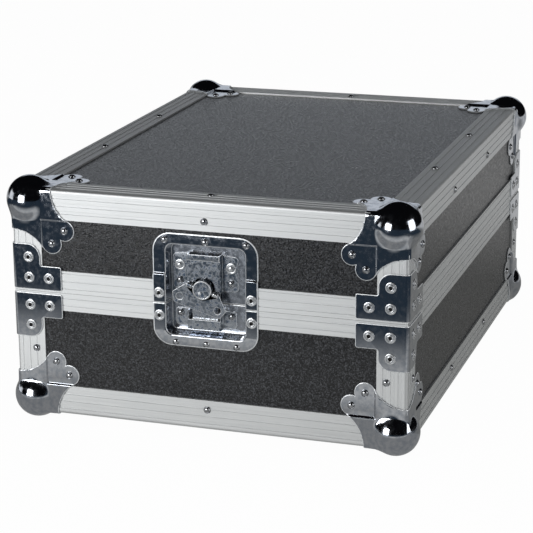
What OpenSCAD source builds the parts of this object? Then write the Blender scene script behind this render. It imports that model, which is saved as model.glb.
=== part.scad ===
// Flight case for a mixer: a laminated plywood box with aluminium edges, steel ball corners,
// corner braces, a lid that lifts off and a recessed butterfly latch at the front and back.
// Millimetres. Origin on the floor under the middle of the case, +Z up, the front faces -Y.

/* [Case] */
// Width over the edge extrusions
case_w = 398; // [340:1:560]
// Depth over the edge extrusions
case_d = 537; // [400:1:700]
// Height over the edge extrusions, lid closed
case_h = 230; // [215:1:360]
// Height of the base from its underside to the split
base_h = 126; // [118:1:140]

/* [Panels] */
// Thickness of the laminated plywood
panel_t = 7; // [5:0.5:9]
// Clearance round the opening in a panel for a latch dish
cutout_gap = 0.3; // [0.2:0.1:1]

/* [Edge extrusions] */
// Leg of the angle extrusion
edge_leg = 30; // [26:1:34]
// Wall of the extrusions
edge_t = 1.8; // [1.4:0.1:2.4]
// Outer corner radius of the angle extrusion
edge_r = 3; // [1.5:0.5:4]
// Width of each shallow groove along a leg
groove_w = 3.2; // [1.5:0.1:4]
// Depth of the grooves
groove_depth = 0.5; // [0.3:0.1:0.9]
// Distance from one groove to the next
groove_pitch = 7.5; // [6:0.1:8]
// Gap left at each mitred or butted end
mitre_gap = 0.1; // [0.05:0.05:0.5]
// Distance of the edge rivets from the corner line of the case
edge_rivet_in = 20.5; // [16:0.5:22]
// Distance between the two rivets along each long edge
edge_rivet_pitch = 159; // [80:1:200]
// Height of the post rivets over the underside of the base
post_rivet_h = 67; // [63:1:70]

/* [Rim extrusions] */
// Height of the rim on the lid
lid_rim_h = 22.5; // [18:0.5:27]
// Height of the rim on the base
base_rim_h = 18; // [17:0.5:26]
// Gap between the two rims when the lid is on
split_gap = 0.3; // [0.2:0.1:0.8]
// Thickness of the web that caps the base panels
rim_web_t = 2; // [1.5:0.1:3]
// Thickness of the solid root of the lid rim, which holds the groove
rim_root_t = 8; // [7.5:0.1:8.2]
// Thickness of the inner leg of both rims
rim_leg_t = 1.5; // [1:0.1:2]
// Distance that the inner legs reach from the split
rim_leg_reach = 10; // [9:0.5:11]
// Width of the tongue
tongue_w = 3; // [2:0.1:4]
// Height of the tongue
tongue_h = 6; // [4:0.1:6.5]
// Clearance on each side of the tongue
tongue_gap = 0.3; // [0.2:0.05:0.5]
// Width of the thin grooves on the face of the rims
rim_groove_w = 1.4; // [0.8:0.1:2]

/* [Ball corners] */
// Outer radius of the ball
ball_r = 23.5; // [21:0.1:25]
// Distance of the ball's centre from the three faces of the case
ball_inset = 14.2; // [12:0.1:15]
// Steel thickness of balls, plates and braces
steel_t = 1.5; // [1.2:0.1:1.8]
// Depth of the flat under each lower ball
foot_flat = 0.3; // [0.2:0.1:0.5]
// Length of a plate arm along the edge of the case
arm_root = 42; // [38:0.5:45]
// Radius of the concave side of an arm
arm_curve = 39; // [36:0.5:42]
// Radius of the lobes
lobe_r = 10.5; // [8.5:0.5:11]
// Far coordinate of a lobe's centre from the corner
lobe_far = 54.5; // [52:0.5:57]
// Near coordinate of a lobe's centre from the corner
lobe_near = 41; // [40:0.5:43]

/* [Corner braces] */
// Reach of a brace along the split
brace_w = 50.5; // [48:0.5:56]
// Reach of the lid brace up the post
lid_brace_h = 48; // [46:0.5:50]
// Reach of the base brace down the post
base_brace_h = 47; // [45:0.5:50]
// Width of the upright arm
brace_arm_w = 28.5; // [26:0.5:30]
// Height of the level arm
brace_arm_h = 24.5; // [23:0.5:27]
// Radius of the rounded end
brace_r = 13; // [9:0.5:14]
// Distance of a brace from the split
brace_gap = 1.9; // [1.5:0.1:3]
// Distance of the first rivets from the corner line
brace_rivet_in = 16.5; // [15:0.5:18]
// Distance of the first rivets from the split
brace_rivet_up = 14; // [13:0.1:15]
// Distance between the rivets of a brace
brace_rivet_pitch = 20.7; // [20:0.1:22]

/* [Rivets] */
// Radius of the dome rivet heads
dome_r = 3.75; // [3:0.05:4]
// Height of the dome rivet heads
dome_h = 2.2; // [1.5:0.1:2.5]
// Radius of the ring rivet heads
ring_r = 5.4; // [4.5:0.1:5.6]
// Height of the ring rivet heads
ring_h = 2; // [1.5:0.1:2.6]
// Radius of the hole in the middle of a ring rivet
ring_bore_r = 1.3; // [0.8:0.1:1.4]
// Radius of all rivet shanks
shank_r = 2; // [1.8:0.1:2.4]
// Clearance round the shanks
shank_gap = 0.1; // [0.05:0.05:0.3]

/* [Latch dishes] */
// Width of the dish flange
dish_w = 106.5; // [102:0.5:112]
// Gap between the upper flange and the edge extrusion above it
dish_top_gap = 4; // [2:0.5:8]
// Reach of the lower flange below the split
dish_down = 42.7; // [42:0.1:46]
// Corner radius of the flange
dish_r = 18; // [12:0.5:20]
// Width of the recess
pan_w = 80.4; // [78:0.1:82]
// Height of the upper flange above the recess
dish_border = 11.3; // [10:0.1:12.5]
// Reach of the recess below the split
pan_down = 34.2; // [34:0.1:35]
// Depth of the recess from the face of the extrusions
pan_depth = 13; // [12.5:0.1:13.5]
// Corner radius of the recess
pan_r = 7; // [4:0.5:8]
// Sheet thickness of dishes and latch parts
dish_t = 1.2; // [1:0.1:1.4]
// Distance of the step in the flange from the split
dish_step = 28; // [27:0.5:30]
// Distance of the top rivets from the middle
dish_rivet_top_x = 41; // [36:0.5:42]
// Distance of the bottom rivets from the middle
dish_rivet_low_x = 31; // [24:0.5:34]
// Distance of the side rivets from the middle
dish_rivet_side_x = 46.7; // [46.6:0.1:47]
// Height of the upper side rivets over the split
dish_rivet_up = 10; // [9:0.5:12]
// Distance of the lower side rivets below the split
dish_rivet_down = 12.5; // [11:0.5:13]

/* [Latch] */
// Sideways offset of the working parts in the dish
latch_shift = -3.5; // [-4:0.5:0]
// Height of the spindle over the split
spindle_up = 15.5; // [15:0.5:16]
// Turn of the wing in the locked position, clockwise from level
wing_tilt = 17; // [0:1:20]
// Radius of the hub
hub_r = 9.5; // [8:0.1:9.8]
// Radius of the spindle shaft
shaft_r = 2.6; // [2:0.1:2.7]
// Clearance round the shaft
shaft_gap = 0.1; // [0.05:0.05:0.2]
// Radius of the cam
cam_r = 6; // [5.8:0.1:6.2]
// Half of the draw hook's travel
cam_throw = 3; // [2:0.1:3]
// Half width of the wing at its tips
wing_tip = 28.5; // [26:0.5:29]
// Depth of the wing, as a share of the recess on the nearer side of the spindle
wing_share = 0.51; // [0.48:0.01:0.54]
// Thickness of the wing
wing_t = 1.5; // [1.2:0.1:1.6]
// Radius of the holes in the wing
wing_hole_r = 3.2; // [2:0.1:3.6]
// Radius of the wing's hinge pin
wing_pin_r = 1.2; // [1:0.1:1.3]
// Clearance round the hinge pin
wing_pin_gap = 0.1; // [0.05:0.05:0.2]
// Half width of the guide cover
guide_x = 17; // [16.5:0.1:18]
// Gap between the guide cover and the top of the recess
guide_top_gap = 9.7; // [8:0.1:10]
// Clearance on each side of the draw hook in its guide
hook_gap = 0.3; // [0.2:0.1:0.8]
// Width of the hook's nose
nose_w = 26; // [22:0.1:27]
// Reach of the nose below the split
nose_down = 18.2; // [17.5:0.1:18.4]
// Bottom of the strike pocket below the split
strike_down = 26; // [26:0.1:27]

/* [Foam] */
// Thickness of the floor and lid pads
pad_t = 15; // [10:1:25]
// Thickness of the wall pads
wall_pad_t = 10; // [9.5:0.5:18]
// Gap between a pad and its neighbours
pad_gap = 0.3; // [0.2:0.1:1]
// Distance of the wall pads from the split
pad_split_gap = 14; // [13:0.5:20]

/* [Hidden] */
$fn = 48;

ALUMINIUM = [0.83, 0.84, 0.85];
CHROME = [0.72, 0.74, 0.77];
LAMINATE = [0.16, 0.16, 0.17];
FOAM = [0.24, 0.24, 0.25];

eps = 0.01;
reach = case_w + case_d + case_h;         // longer than any cut needs
lid_h = case_h - base_h;
foot_h = ball_r - ball_inset - foot_flat;
split_z = foot_h + base_h;
top_z = foot_h + case_h;
half_gap = split_gap / 2;
panel_in = edge_t + panel_t;              // inner face of a panel, from the face of the case
web_w = panel_in + rim_leg_t;             // width of a rim's section
pan_back = pan_depth + dish_t;            // back of a dish, from the face of the case
dish_up = lid_h - edge_leg - dish_top_gap;
pan_up = dish_up - dish_border;
cut_half = pan_w / 2 + dish_t + cutout_gap;
cut_up = pan_up + dish_t + cutout_gap;
cut_down = pan_down + dish_t + cutout_gap;
hole_r = shank_r + shank_gap;
arc_steps = 6;
ball_tip = 5;             // size of the corner tip that lies inside the ball

// Levels of the latch parts, measured outwards from the face of the case
floor_level = -pan_depth;
wing_level = -2.25;       // middle of the wing and axis of its hinge
guide_level = -5;         // front of the guide cover and of the strike
hook_level = -11;         // back of the draw hook
hook_t = 2;
hook_w = 2 * (guide_x - dish_t - hook_gap);
cam_level = -11.4;
cam_t = 2.8;
hub_back = -4.6;
knuckle_r = wing_pin_r + wing_pin_gap + 0.9;
knuckle_in = hub_r + 1.7;
knuckle_out = hub_r + 6.5;
wing_drop = wing_share * min(pan_up - spindle_up, pan_down + spindle_up);
wing_back = 1;            // height of the wing above its hinge line
wing_shoulder = 0.6 * wing_tip;
wing_widest = 0.57 * wing_drop;
wing_taper = 4.5;
wing_hub_gap = 0.7;
wing_hole_in = 8.5;       // distance of the wing's holes from its tips
wing_hole_drop = 0.66 * wing_drop;
tail_gap = 0.3;
tail_t = 1.2;
tail_r = 5;
window_gap = 0.5;         // clearance beside the cam's sweep
window_w = 2 * (cam_r + cam_throw + window_gap);
window_h = 2 * cam_r + 0.67 * cam_throw;
window_rim = 3;
hub_hole_r = hub_r + 2;
hub_front = -0.6;
hub_dome_h = 1.4;
hook_shoulder = 4;        // reach of the hook's wide part below the split
nose_lip = 1.6;
nose_lip_h = 2.5;
flange_rivet_x = guide_x + 9;
guide_low = spindle_up - 3.5;
guide_up = pan_up - guide_top_gap;
guide_flange_low = guide_low + 1;
guide_flange_up = guide_up - 2;
guide_flange_w = 16;
// Length of a guide flange that its two rivet heads leave free, shared out below, between and above
guide_spare = guide_flange_up - guide_flange_low - 2 * (dome_r + ring_r);
strike_flange_w = 14;
strike_flange_low = 2;    // gap between the strike's flanges and its bottom
strike_lip_h = 10;        // height of the strike's front lip
strike_low_side = 7;      // top of the strike's sides, below the split
strike_rivet_down = 12;

function arc(cx, cy, r, from, to) =
    [for (i = [0 : arc_steps]) let (a = from + (to - from) * i / arc_steps)
        [cx + r * cos(a), cy + r * sin(a)]];

// Grooves along one leg, as points from the corner outwards: each is [distance, depth]
function groove_points(centres, w, depth) =
    [for (c = centres) each [[c - w / 2, 0], [c - w / 2 + depth / 2, depth],
                             [c + w / 2 - depth / 2, depth], [c + w / 2, 0]]];
function swap(points) = [for (i = [len(points) - 1 : -1 : 0]) [points[i][1], points[i][0]]];

// Section of the angle extrusion: corner at the origin, legs along +X and +Y
function angle_section() =
    let (grooves = groove_points([for (k = [1 : 3]) k * groove_pitch], groove_w, groove_depth))
    concat(arc(edge_r, edge_r, edge_r, 180, 270), grooves,
           [[edge_leg, 0], [edge_leg, edge_t], [edge_t, edge_t], [edge_t, edge_leg], [0, edge_leg]],
           swap(grooves));

// Sections of the rims: X inwards from the face of the case, Y upwards from the split
tongue_x = (web_w - tongue_w) / 2;
rim_grooves = groove_points([5, 12.4], rim_groove_w, groove_depth);
lid_lip_groove = groove_points([lid_rim_h - 2.4], rim_groove_w / 2, groove_depth);
function up_face(points) = [for (p = points) [p[1], p[0]]];
function base_rim_section() = concat(
    [[0, -half_gap], [tongue_x, -half_gap], [tongue_x, tongue_h - half_gap],
     [tongue_x + tongue_w, tongue_h - half_gap], [tongue_x + tongue_w, -half_gap], [web_w, -half_gap],
     [web_w, -rim_leg_reach], [panel_in, -rim_leg_reach], [panel_in, -half_gap - rim_web_t],
     [edge_t, -half_gap - rim_web_t], [edge_t, -base_rim_h], [0, -base_rim_h]],
    [for (i = [len(rim_grooves) - 1 : -1 : 0]) [rim_grooves[i][1], -rim_grooves[i][0]]]);
function lid_rim_section() = concat(
    [[0, half_gap]], up_face(rim_grooves), up_face(lid_lip_groove),
    [[0, lid_rim_h], [edge_t, lid_rim_h], [edge_t, half_gap + rim_root_t],
     [panel_in, half_gap + rim_root_t], [panel_in, rim_leg_reach], [web_w, rim_leg_reach],
     [web_w, half_gap], [tongue_x + tongue_w + tongue_gap, half_gap],
     [tongue_x + tongue_w + tongue_gap, half_gap + tongue_h + tongue_gap],
     [tongue_x - tongue_gap, half_gap + tongue_h + tongue_gap], [tongue_x - tongue_gap, half_gap]]);

// Rivet places on one side face: X from the middle of the face, Y from the split
function both(x) = [-x, x];
function edge_rivets(long_side) = long_side ? both(edge_rivet_pitch / 2) : [0];
function lobe_places(half) = [for (s = [-1, 1])
    each [[s * (half - lobe_far), lobe_near], [s * (half - lobe_near), lobe_far]]];
function base_edge_domes(half, long_side) = concat(
    [for (x = edge_rivets(long_side)) [x, -base_h + edge_rivet_in]],
    [for (x = both(half - edge_rivet_in)) [x, -base_h + post_rivet_h]]);
function lid_edge_domes(half, long_side) = [for (x = edge_rivets(long_side)) [x, lid_h - edge_rivet_in]];
function base_domes(half, long_side) = concat(
    base_edge_domes(half, long_side), [for (p = lobe_places(half)) [p[0], -base_h + p[1]]]);
function lid_domes(half, long_side) = concat(
    lid_edge_domes(half, long_side), [for (p = lobe_places(half)) [p[0], lid_h - p[1]]]);
function brace_rings(half) = [for (s = [-1, 1]) each
    [[s * (half - brace_rivet_in), brace_rivet_up],
     [s * (half - brace_rivet_in), brace_rivet_up + brace_rivet_pitch],
     [s * (half - brace_rivet_in - brace_rivet_pitch), brace_rivet_up]]];
function flip(places) = [for (p = places) [p[0], -p[1]]];
// Rivet places on the top or bottom face, from its middle
cap_edge_places = concat(
    [for (y = both(case_d / 2 - edge_rivet_in)) [0, y]],
    [for (x = both(case_w / 2 - edge_rivet_in), y = edge_rivets(true)) [x, y]]);
cap_lobe_places = [for (sx = [-1, 1], sy = [-1, 1]) each
    [[sx * (case_w / 2 - lobe_far), sy * (case_d / 2 - lobe_near)],
     [sx * (case_w / 2 - lobe_near), sy * (case_d / 2 - lobe_far)]]];
// Rivet places on the dishes, from the split
upper_rivet_y = pan_up + dish_t + 0.32 * (dish_up - pan_up - dish_t);
upper_dish_domes = [for (x = [-dish_rivet_top_x, 0, dish_rivet_top_x]) [x, upper_rivet_y]];
lower_dish_domes = [for (x = [-dish_rivet_low_x, 0, dish_rivet_low_x]) [x, -(dish_down + pan_down) / 2]];
dish_ring_places = both(dish_rivet_side_x);
function latch_pair(y) = [for (x = both(flange_rivet_x)) [latch_shift + x, y]];
guide_rings = latch_pair(guide_flange_up - ring_r - 0.36 * guide_spare);
guide_domes = latch_pair(guide_flange_low + dome_r + 0.27 * guide_spare);
strike_rivets = latch_pair(-strike_rivet_down);

// Frames: X along the face, Y up from the split (or from the middle of a cap), Z outwards
module on_front() { translate([0, -case_d / 2, split_z]) rotate([90, 0, 0]) children(); }
module on_back() { translate([0, case_d / 2, split_z]) rotate([90, 0, 180]) children(); }
module on_left() { translate([-case_w / 2, 0, split_z]) rotate([90, 0, -90]) children(); }
module on_right() { translate([case_w / 2, 0, split_z]) rotate([90, 0, 90]) children(); }
module on_top() { translate([0, 0, top_z]) children(); }
module on_bottom() { translate([0, 0, foot_h]) rotate([180, 0, 0]) children(); }
module at_places(places, level = 0) { for (p = places) translate([p[0], p[1], level]) children(); }

// A corner of the case: X, Y and Z all run inwards from it
module at_corner(side_x, side_y, lid) {
    translate([side_x * case_w / 2, side_y * case_d / 2, lid ? top_z : foot_h])
        mirror([side_x > 0 ? 1 : 0, 0, 0]) mirror([0, side_y > 0 ? 1 : 0, 0]) mirror([0, 0, lid ? 1 : 0])
            children();
}

// The same point of the split on the corner line
module at_split_corner(side_x, side_y) {
    translate([side_x * case_w / 2, side_y * case_d / 2, split_z])
        mirror([side_x > 0 ? 1 : 0, 0, 0]) mirror([0, side_y > 0 ? 1 : 0, 0]) children();
}
module at_four_corners() { for (sx = [-1, 1], sy = [-1, 1]) at_split_corner(sx, sy) children(); }

module shank_hole() { translate([0, 0, -panel_in - 1]) cylinder(h = panel_in + steel_t + 3, r = hole_r); }
module holes(places) { at_places(places) shank_hole(); }

module rivet_dome(r, h) {
    cap_r = (r * r + h * h) / (2 * h);
    difference() {
        translate([0, 0, h - cap_r]) sphere(r = cap_r);
        translate([0, 0, -reach / 2]) cube(reach, center = true);
    }
}
// Rivets stand on a seat and end at the back of what they hold, both from the face of the case
module dome_rivet(seat, back) {
    translate([0, 0, seat]) rivet_dome(dome_r, dome_h);
    translate([0, 0, -back]) cylinder(h = back + seat + eps, r = shank_r);
}
module ring_rivet(seat, back) {
    difference() {
        union() {
            translate([0, 0, seat]) cylinder(h = ring_h * 0.45, r = ring_r);
            translate([0, 0, seat]) cylinder(h = ring_h, r = ring_r * 0.6);
            translate([0, 0, -back]) cylinder(h = back + seat + eps, r = shank_r);
        }
        translate([0, 0, seat - 1]) cylinder(h = ring_h + 2, r = ring_bore_r);
    }
}

// Plywood panels
module wall_panel(half, low, high, cutout) {
    difference() {
        translate([-half, low, -panel_in]) cube([2 * half, high - low, panel_t]);
        if (cutout) translate([-cut_half, -cut_down, -reach / 2])
            cube([2 * cut_half, cut_down + cut_up, reach]);
    }
}
module base_wall(half, long_side) {
    wall = long_side ? half - panel_in : half - edge_t;
    color(LAMINATE) difference() {
        wall_panel(wall, -base_h + panel_in, -half_gap - rim_web_t, !long_side);
        holes(base_domes(half, long_side));
        holes(flip(brace_rings(half)));
        if (!long_side) {
            holes(lower_dish_domes);
            holes([for (x = dish_ring_places) [x, -dish_rivet_down]]);
        }
    }
}
module lid_wall(half, long_side) {
    wall = long_side ? half - panel_in : half - edge_t;
    color(LAMINATE) difference() {
        wall_panel(wall, half_gap + rim_root_t, lid_h - panel_in, !long_side);
        holes(lid_domes(half, long_side));
        holes(brace_rings(half));
        if (!long_side) {
            holes(upper_dish_domes);
            holes([for (x = dish_ring_places) [x, dish_rivet_up]]);
        }
    }
}
module cap_panel() {
    color(LAMINATE) difference() {
        translate([edge_t - case_w / 2, edge_t - case_d / 2, -panel_in])
            cube([case_w - 2 * edge_t, case_d - 2 * edge_t, panel_t]);
        holes(cap_edge_places);
        holes(cap_lobe_places);
    }
}
module base_bottom_panel() { on_bottom() cap_panel(); }
module base_front_panel() { on_front() base_wall(case_w / 2, false); }
module base_back_panel() { on_back() base_wall(case_w / 2, false); }
module base_left_panel() { on_left() base_wall(case_d / 2, true); }
module base_right_panel() { on_right() base_wall(case_d / 2, true); }
module lid_top_panel() { on_top() cap_panel(); }
module lid_front_panel() { on_front() lid_wall(case_w / 2, false); }
module lid_back_panel() { on_back() lid_wall(case_w / 2, false); }
module lid_left_panel() { on_left() lid_wall(case_d / 2, true); }
module lid_right_panel() { on_right() lid_wall(case_d / 2, true); }

// A section drawn in Y and Z, run along X and mitred against its neighbours at both ends
module mitred_run(length, low, high) {
    deep = edge_leg + 1;
    end = length / 2 - mitre_gap;
    intersection() {
        rotate([90, 0, 90]) translate([0, 0, -length / 2]) linear_extrude(height = length) children();
        translate([0, 0, low]) linear_extrude(height = high - low)
            polygon([[-end - 1, -1], [end + 1, -1], [end - deep, deep], [-end + deep, deep]]);
    }
}
module angle_run(length) {
    deep = edge_leg + 1;
    end = length / 2 - mitre_gap;
    difference() {
        intersection() {
            mitred_run(length, -1, deep) polygon(angle_section());
            translate([0, deep, 0]) rotate([90, 0, 0]) linear_extrude(height = deep + 1)
                polygon([[-end - 1, -1], [end + 1, -1], [end - deep, deep], [-end + deep, deep]]);
        }
        for (side = [0, 1]) mirror([side, 0, 0]) translate([-length / 2, 0, 0]) corner_cut(mitre_gap);
    }
}
// The tip of the case's corner, which the ball takes the place of
module corner_cut(gap) { translate([-1, -1, -1]) cube(ball_tip + gap + 1); }
// Edge along the top or bottom of one side: one leg on the face, the other back across the cap
module side_edge(half, long_side, lid) {
    corner_y = lid ? lid_h : -base_h;
    inwards = lid ? -1 : 1;
    color(ALUMINIUM) difference() {
        translate([0, corner_y, 0]) mirror([0, lid ? 1 : 0, 0]) rotate([-90, 0, 0]) angle_run(2 * half);
        holes([for (x = edge_rivets(long_side)) [x, corner_y + inwards * edge_rivet_in]]);
        for (x = edge_rivets(long_side)) translate([x, corner_y, -edge_rivet_in])
            rotate([90, 0, 0]) cylinder(h = 4 * edge_t, r = hole_r, center = true);
    }
}
module base_front_edge() { on_front() side_edge(case_w / 2, false, false); }
module base_back_edge() { on_back() side_edge(case_w / 2, false, false); }
module base_left_edge() { on_left() side_edge(case_d / 2, true, false); }
module base_right_edge() { on_right() side_edge(case_d / 2, true, false); }
module lid_front_edge() { on_front() side_edge(case_w / 2, false, true); }
module lid_back_edge() { on_back() side_edge(case_w / 2, false, true); }
module lid_left_edge() { on_left() side_edge(case_d / 2, true, true); }
module lid_right_edge() { on_right() side_edge(case_d / 2, true, true); }

// Corner posts, mitred into the edges and butted against the rim
module post_holes(x, h) {
    translate([x, 0, h]) rotate([90, 0, 0]) cylinder(h = 4 * edge_t, r = hole_r, center = true);
    translate([0, x, h]) rotate([0, 90, 0]) cylinder(h = 4 * edge_t, r = hole_r, center = true);
}
module post(length, dome_heights, ring_height) {
    deep = edge_leg + 1;
    mitre = [[-1, mitre_gap - 1], [deep, deep + mitre_gap], [deep, length], [-1, length]];
    difference() {
        intersection() {
            linear_extrude(height = length - mitre_gap) polygon(angle_section());
            translate([0, deep, 0]) rotate([90, 0, 0]) linear_extrude(height = deep + 1) polygon(mitre);
            translate([-1, 0, 0]) rotate([90, 0, 90]) linear_extrude(height = deep + 1) polygon(mitre);
        }
        corner_cut(mitre_gap);
        for (h = dome_heights) post_holes(edge_rivet_in, h);
        post_holes(brace_rivet_in, ring_height);
    }
}
module base_corner_posts() {
    color(ALUMINIUM) for (sx = [-1, 1], sy = [-1, 1]) at_corner(sx, sy, false)
        post(base_h - base_rim_h, [post_rivet_h], base_h - brace_rivet_up - brace_rivet_pitch);
}
module lid_corner_posts() {
    color(ALUMINIUM) for (sx = [-1, 1], sy = [-1, 1]) at_corner(sx, sy, true)
        post(lid_h - lid_rim_h, [], lid_h - brace_rivet_up - brace_rivet_pitch);
}

// Rims: four mitred lengths round the split, cut through where the latch dishes sit
module rim_side(half, section, places, latched) {
    difference() {
        rotate([-90, 0, 0]) mitred_run(2 * half, -base_rim_h - 1, lid_rim_h + 1) polygon(section);
        holes(places);
        if (latched) translate([-cut_half, -reach / 2, -reach / 2]) cube([2 * cut_half, reach, reach]);
    }
}
function rim_rings(half, up) =
    [for (p = brace_rings(half)) if (p[1] == brace_rivet_up) [p[0], up * p[1]]];
module rim(section, up, dish_ring_y) {
    latched_rings = concat(rim_rings(case_w / 2, up), [for (x = dish_ring_places) [x, dish_ring_y]]);
    color(ALUMINIUM) {
        on_front() rim_side(case_w / 2, section, latched_rings, true);
        on_back() rim_side(case_w / 2, section, latched_rings, true);
        on_left() rim_side(case_d / 2, section, rim_rings(case_d / 2, up), false);
        on_right() rim_side(case_d / 2, section, rim_rings(case_d / 2, up), false);
    }
}
module base_rim() { rim(base_rim_section(), -1, -dish_rivet_down); }
module lid_rim() { rim(lid_rim_section(), 1, dish_rivet_up); }

// Ball corners: three plates round a hollow ball, in the corner frame
lobe_root = arm_root + arm_curve - sqrt(pow(arm_curve, 2) - pow(edge_leg + steel_t, 2));
diagonal = lobe_r / sqrt(2);
module arm_outline() {
    difference() {
        translate([-steel_t, -steel_t]) square([lobe_root + steel_t, edge_leg + 2 * steel_t]);
        translate([arm_root + arm_curve, 0]) circle(r = arm_curve);
    }
}
module lobe_outline() {
    translate([lobe_far, lobe_near]) circle(r = lobe_r);
    translate([lobe_near, lobe_far]) circle(r = lobe_r);
    polygon([[edge_leg, edge_leg], [lobe_root, edge_leg], [lobe_far + diagonal, lobe_near - diagonal],
             [lobe_far, lobe_near], [lobe_near, lobe_far], [lobe_near - diagonal, lobe_far + diagonal],
             [edge_leg, lobe_root]]);
}
module both_ways() { children(); mirror([1, -1, 0]) children(); }
module corner_plate() {
    translate([0, 0, -steel_t]) linear_extrude(height = steel_t) both_ways() arm_outline();
    difference() {
        union() {
            translate([0, 0, edge_t - steel_t]) linear_extrude(height = steel_t) lobe_outline();
            translate([0, 0, -steel_t]) linear_extrude(height = edge_t + steel_t) both_ways()
                translate([edge_leg, edge_leg]) square([lobe_root - edge_leg, steel_t]);
        }
        for (p = [[lobe_far, lobe_near], [lobe_near, lobe_far]])
            translate([p[0], p[1], -reach / 2]) cylinder(h = reach, r = hole_r);
    }
}
module next_face() { multmatrix([[0, 0, 1, 0], [1, 0, 0, 0], [0, 1, 0, 0], [0, 0, 0, 1]]) children(); }
module ball_corner(footed) {
    centre = [ball_inset, ball_inset, ball_inset];
    color(CHROME) difference() {
        union() {
            difference() {
                union() {
                    corner_plate();
                    next_face() corner_plate();
                    next_face() next_face() corner_plate();
                }
                translate([-ball_tip, -ball_tip, -ball_tip]) cube(ball_inset / 2 + ball_tip);
            }
            difference() {
                translate(centre) sphere(r = ball_r);
                difference() {
                    cube(reach);
                    cube(ball_tip);
                }
            }
        }
        translate(centre) sphere(r = ball_r - steel_t);
        if (footed) translate([-reach / 2, -reach / 2, -reach - foot_h]) cube(reach);
    }
}
module base_ball_front_left() { at_corner(-1, -1, false) ball_corner(true); }
module base_ball_front_right() { at_corner(1, -1, false) ball_corner(true); }
module base_ball_back_left() { at_corner(-1, 1, false) ball_corner(true); }
module base_ball_back_right() { at_corner(1, 1, false) ball_corner(true); }
module lid_ball_front_left() { at_corner(-1, -1, true) ball_corner(false); }
module lid_ball_front_right() { at_corner(1, -1, true) ball_corner(false); }
module lid_ball_back_left() { at_corner(-1, 1, true) ball_corner(false); }
module lid_ball_back_right() { at_corner(1, 1, true) ball_corner(false); }

// Corner braces, in the frame of the corner line at the split
module brace_side(height) {
    places = [[brace_rivet_in, brace_rivet_up], [brace_rivet_in, brace_rivet_up + brace_rivet_pitch],
              [brace_rivet_in + brace_rivet_pitch, brace_rivet_up]];
    arm_top = brace_gap + brace_arm_h;
    rotate([90, 0, 0]) difference() {
        linear_extrude(height = steel_t) polygon(concat(
            [[-steel_t, brace_gap], [brace_w, brace_gap], [brace_w, arm_top], [brace_arm_w, arm_top]],
            arc(brace_arm_w - brace_r, height - brace_r, brace_r, 0, 90), [[-steel_t, height]]));
        holes(places);
    }
}
module brace(height) {
    brace_side(height);
    mirror([1, -1, 0]) brace_side(height);
}
module lid_braces() { color(CHROME) at_four_corners() brace(lid_brace_h); }
module base_braces() { color(CHROME) at_four_corners() mirror([0, 0, 1]) brace(base_brace_h); }

// Rivets of one half: edges and posts first, then lobes, then the dishes
module domes(half, edge_places, corner_y, turn) {
    at_places(edge_places) dome_rivet(0, panel_in);
    at_places([for (p = lobe_places(half)) [p[0], corner_y + turn * p[1]]])
        dome_rivet(steel_t - edge_t, panel_in);
}
module cap_domes() {
    at_places(cap_edge_places) dome_rivet(0, panel_in);
    at_places(cap_lobe_places) dome_rivet(steel_t - edge_t, panel_in);
}
module base_side_domes(half, long_side) {
    domes(half, base_edge_domes(half, long_side), -base_h, 1);
    if (!long_side) {
        at_places(lower_dish_domes) dome_rivet(dish_t - edge_t, panel_in);
        at_places(strike_rivets) dome_rivet(floor_level + dish_t, pan_back);
    }
}
module lid_side_domes(half, long_side) {
    domes(half, lid_edge_domes(half, long_side), lid_h, -1);
    if (!long_side) {
        at_places(upper_dish_domes) dome_rivet(dish_t - edge_t, panel_in);
        at_places(guide_domes) dome_rivet(floor_level + dish_t, pan_back);
    }
}
module base_dome_rivets() {
    color(CHROME) {
        on_front() base_side_domes(case_w / 2, false);
        on_back() base_side_domes(case_w / 2, false);
        on_left() base_side_domes(case_d / 2, true);
        on_right() base_side_domes(case_d / 2, true);
        on_bottom() cap_domes();
    }
}
module lid_dome_rivets() {
    color(CHROME) {
        on_front() lid_side_domes(case_w / 2, false);
        on_back() lid_side_domes(case_w / 2, false);
        on_left() lid_side_domes(case_d / 2, true);
        on_right() lid_side_domes(case_d / 2, true);
        on_top() cap_domes();
    }
}
module base_side_rings(half, long_side) {
    at_places(flip(brace_rings(half))) ring_rivet(steel_t, panel_in);
    if (!long_side)
        at_places([for (x = dish_ring_places) [x, -dish_rivet_down]]) ring_rivet(dish_t, panel_in);
}
module lid_side_rings(half, long_side) {
    at_places(brace_rings(half)) ring_rivet(steel_t, panel_in);
    if (!long_side) {
        at_places([for (x = dish_ring_places) [x, dish_rivet_up]]) ring_rivet(dish_t, panel_in);
        at_places(guide_rings) ring_rivet(floor_level + dish_t, pan_back);
    }
}
module base_ring_rivets() {
    color(CHROME) {
        on_front() base_side_rings(case_w / 2, false);
        on_back() base_side_rings(case_w / 2, false);
        on_left() base_side_rings(case_d / 2, true);
        on_right() base_side_rings(case_d / 2, true);
    }
}
module lid_ring_rivets() {
    color(CHROME) {
        on_front() lid_side_rings(case_w / 2, false);
        on_back() lid_side_rings(case_w / 2, false);
        on_left() lid_side_rings(case_d / 2, true);
        on_right() lid_side_rings(case_d / 2, true);
    }
}

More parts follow.
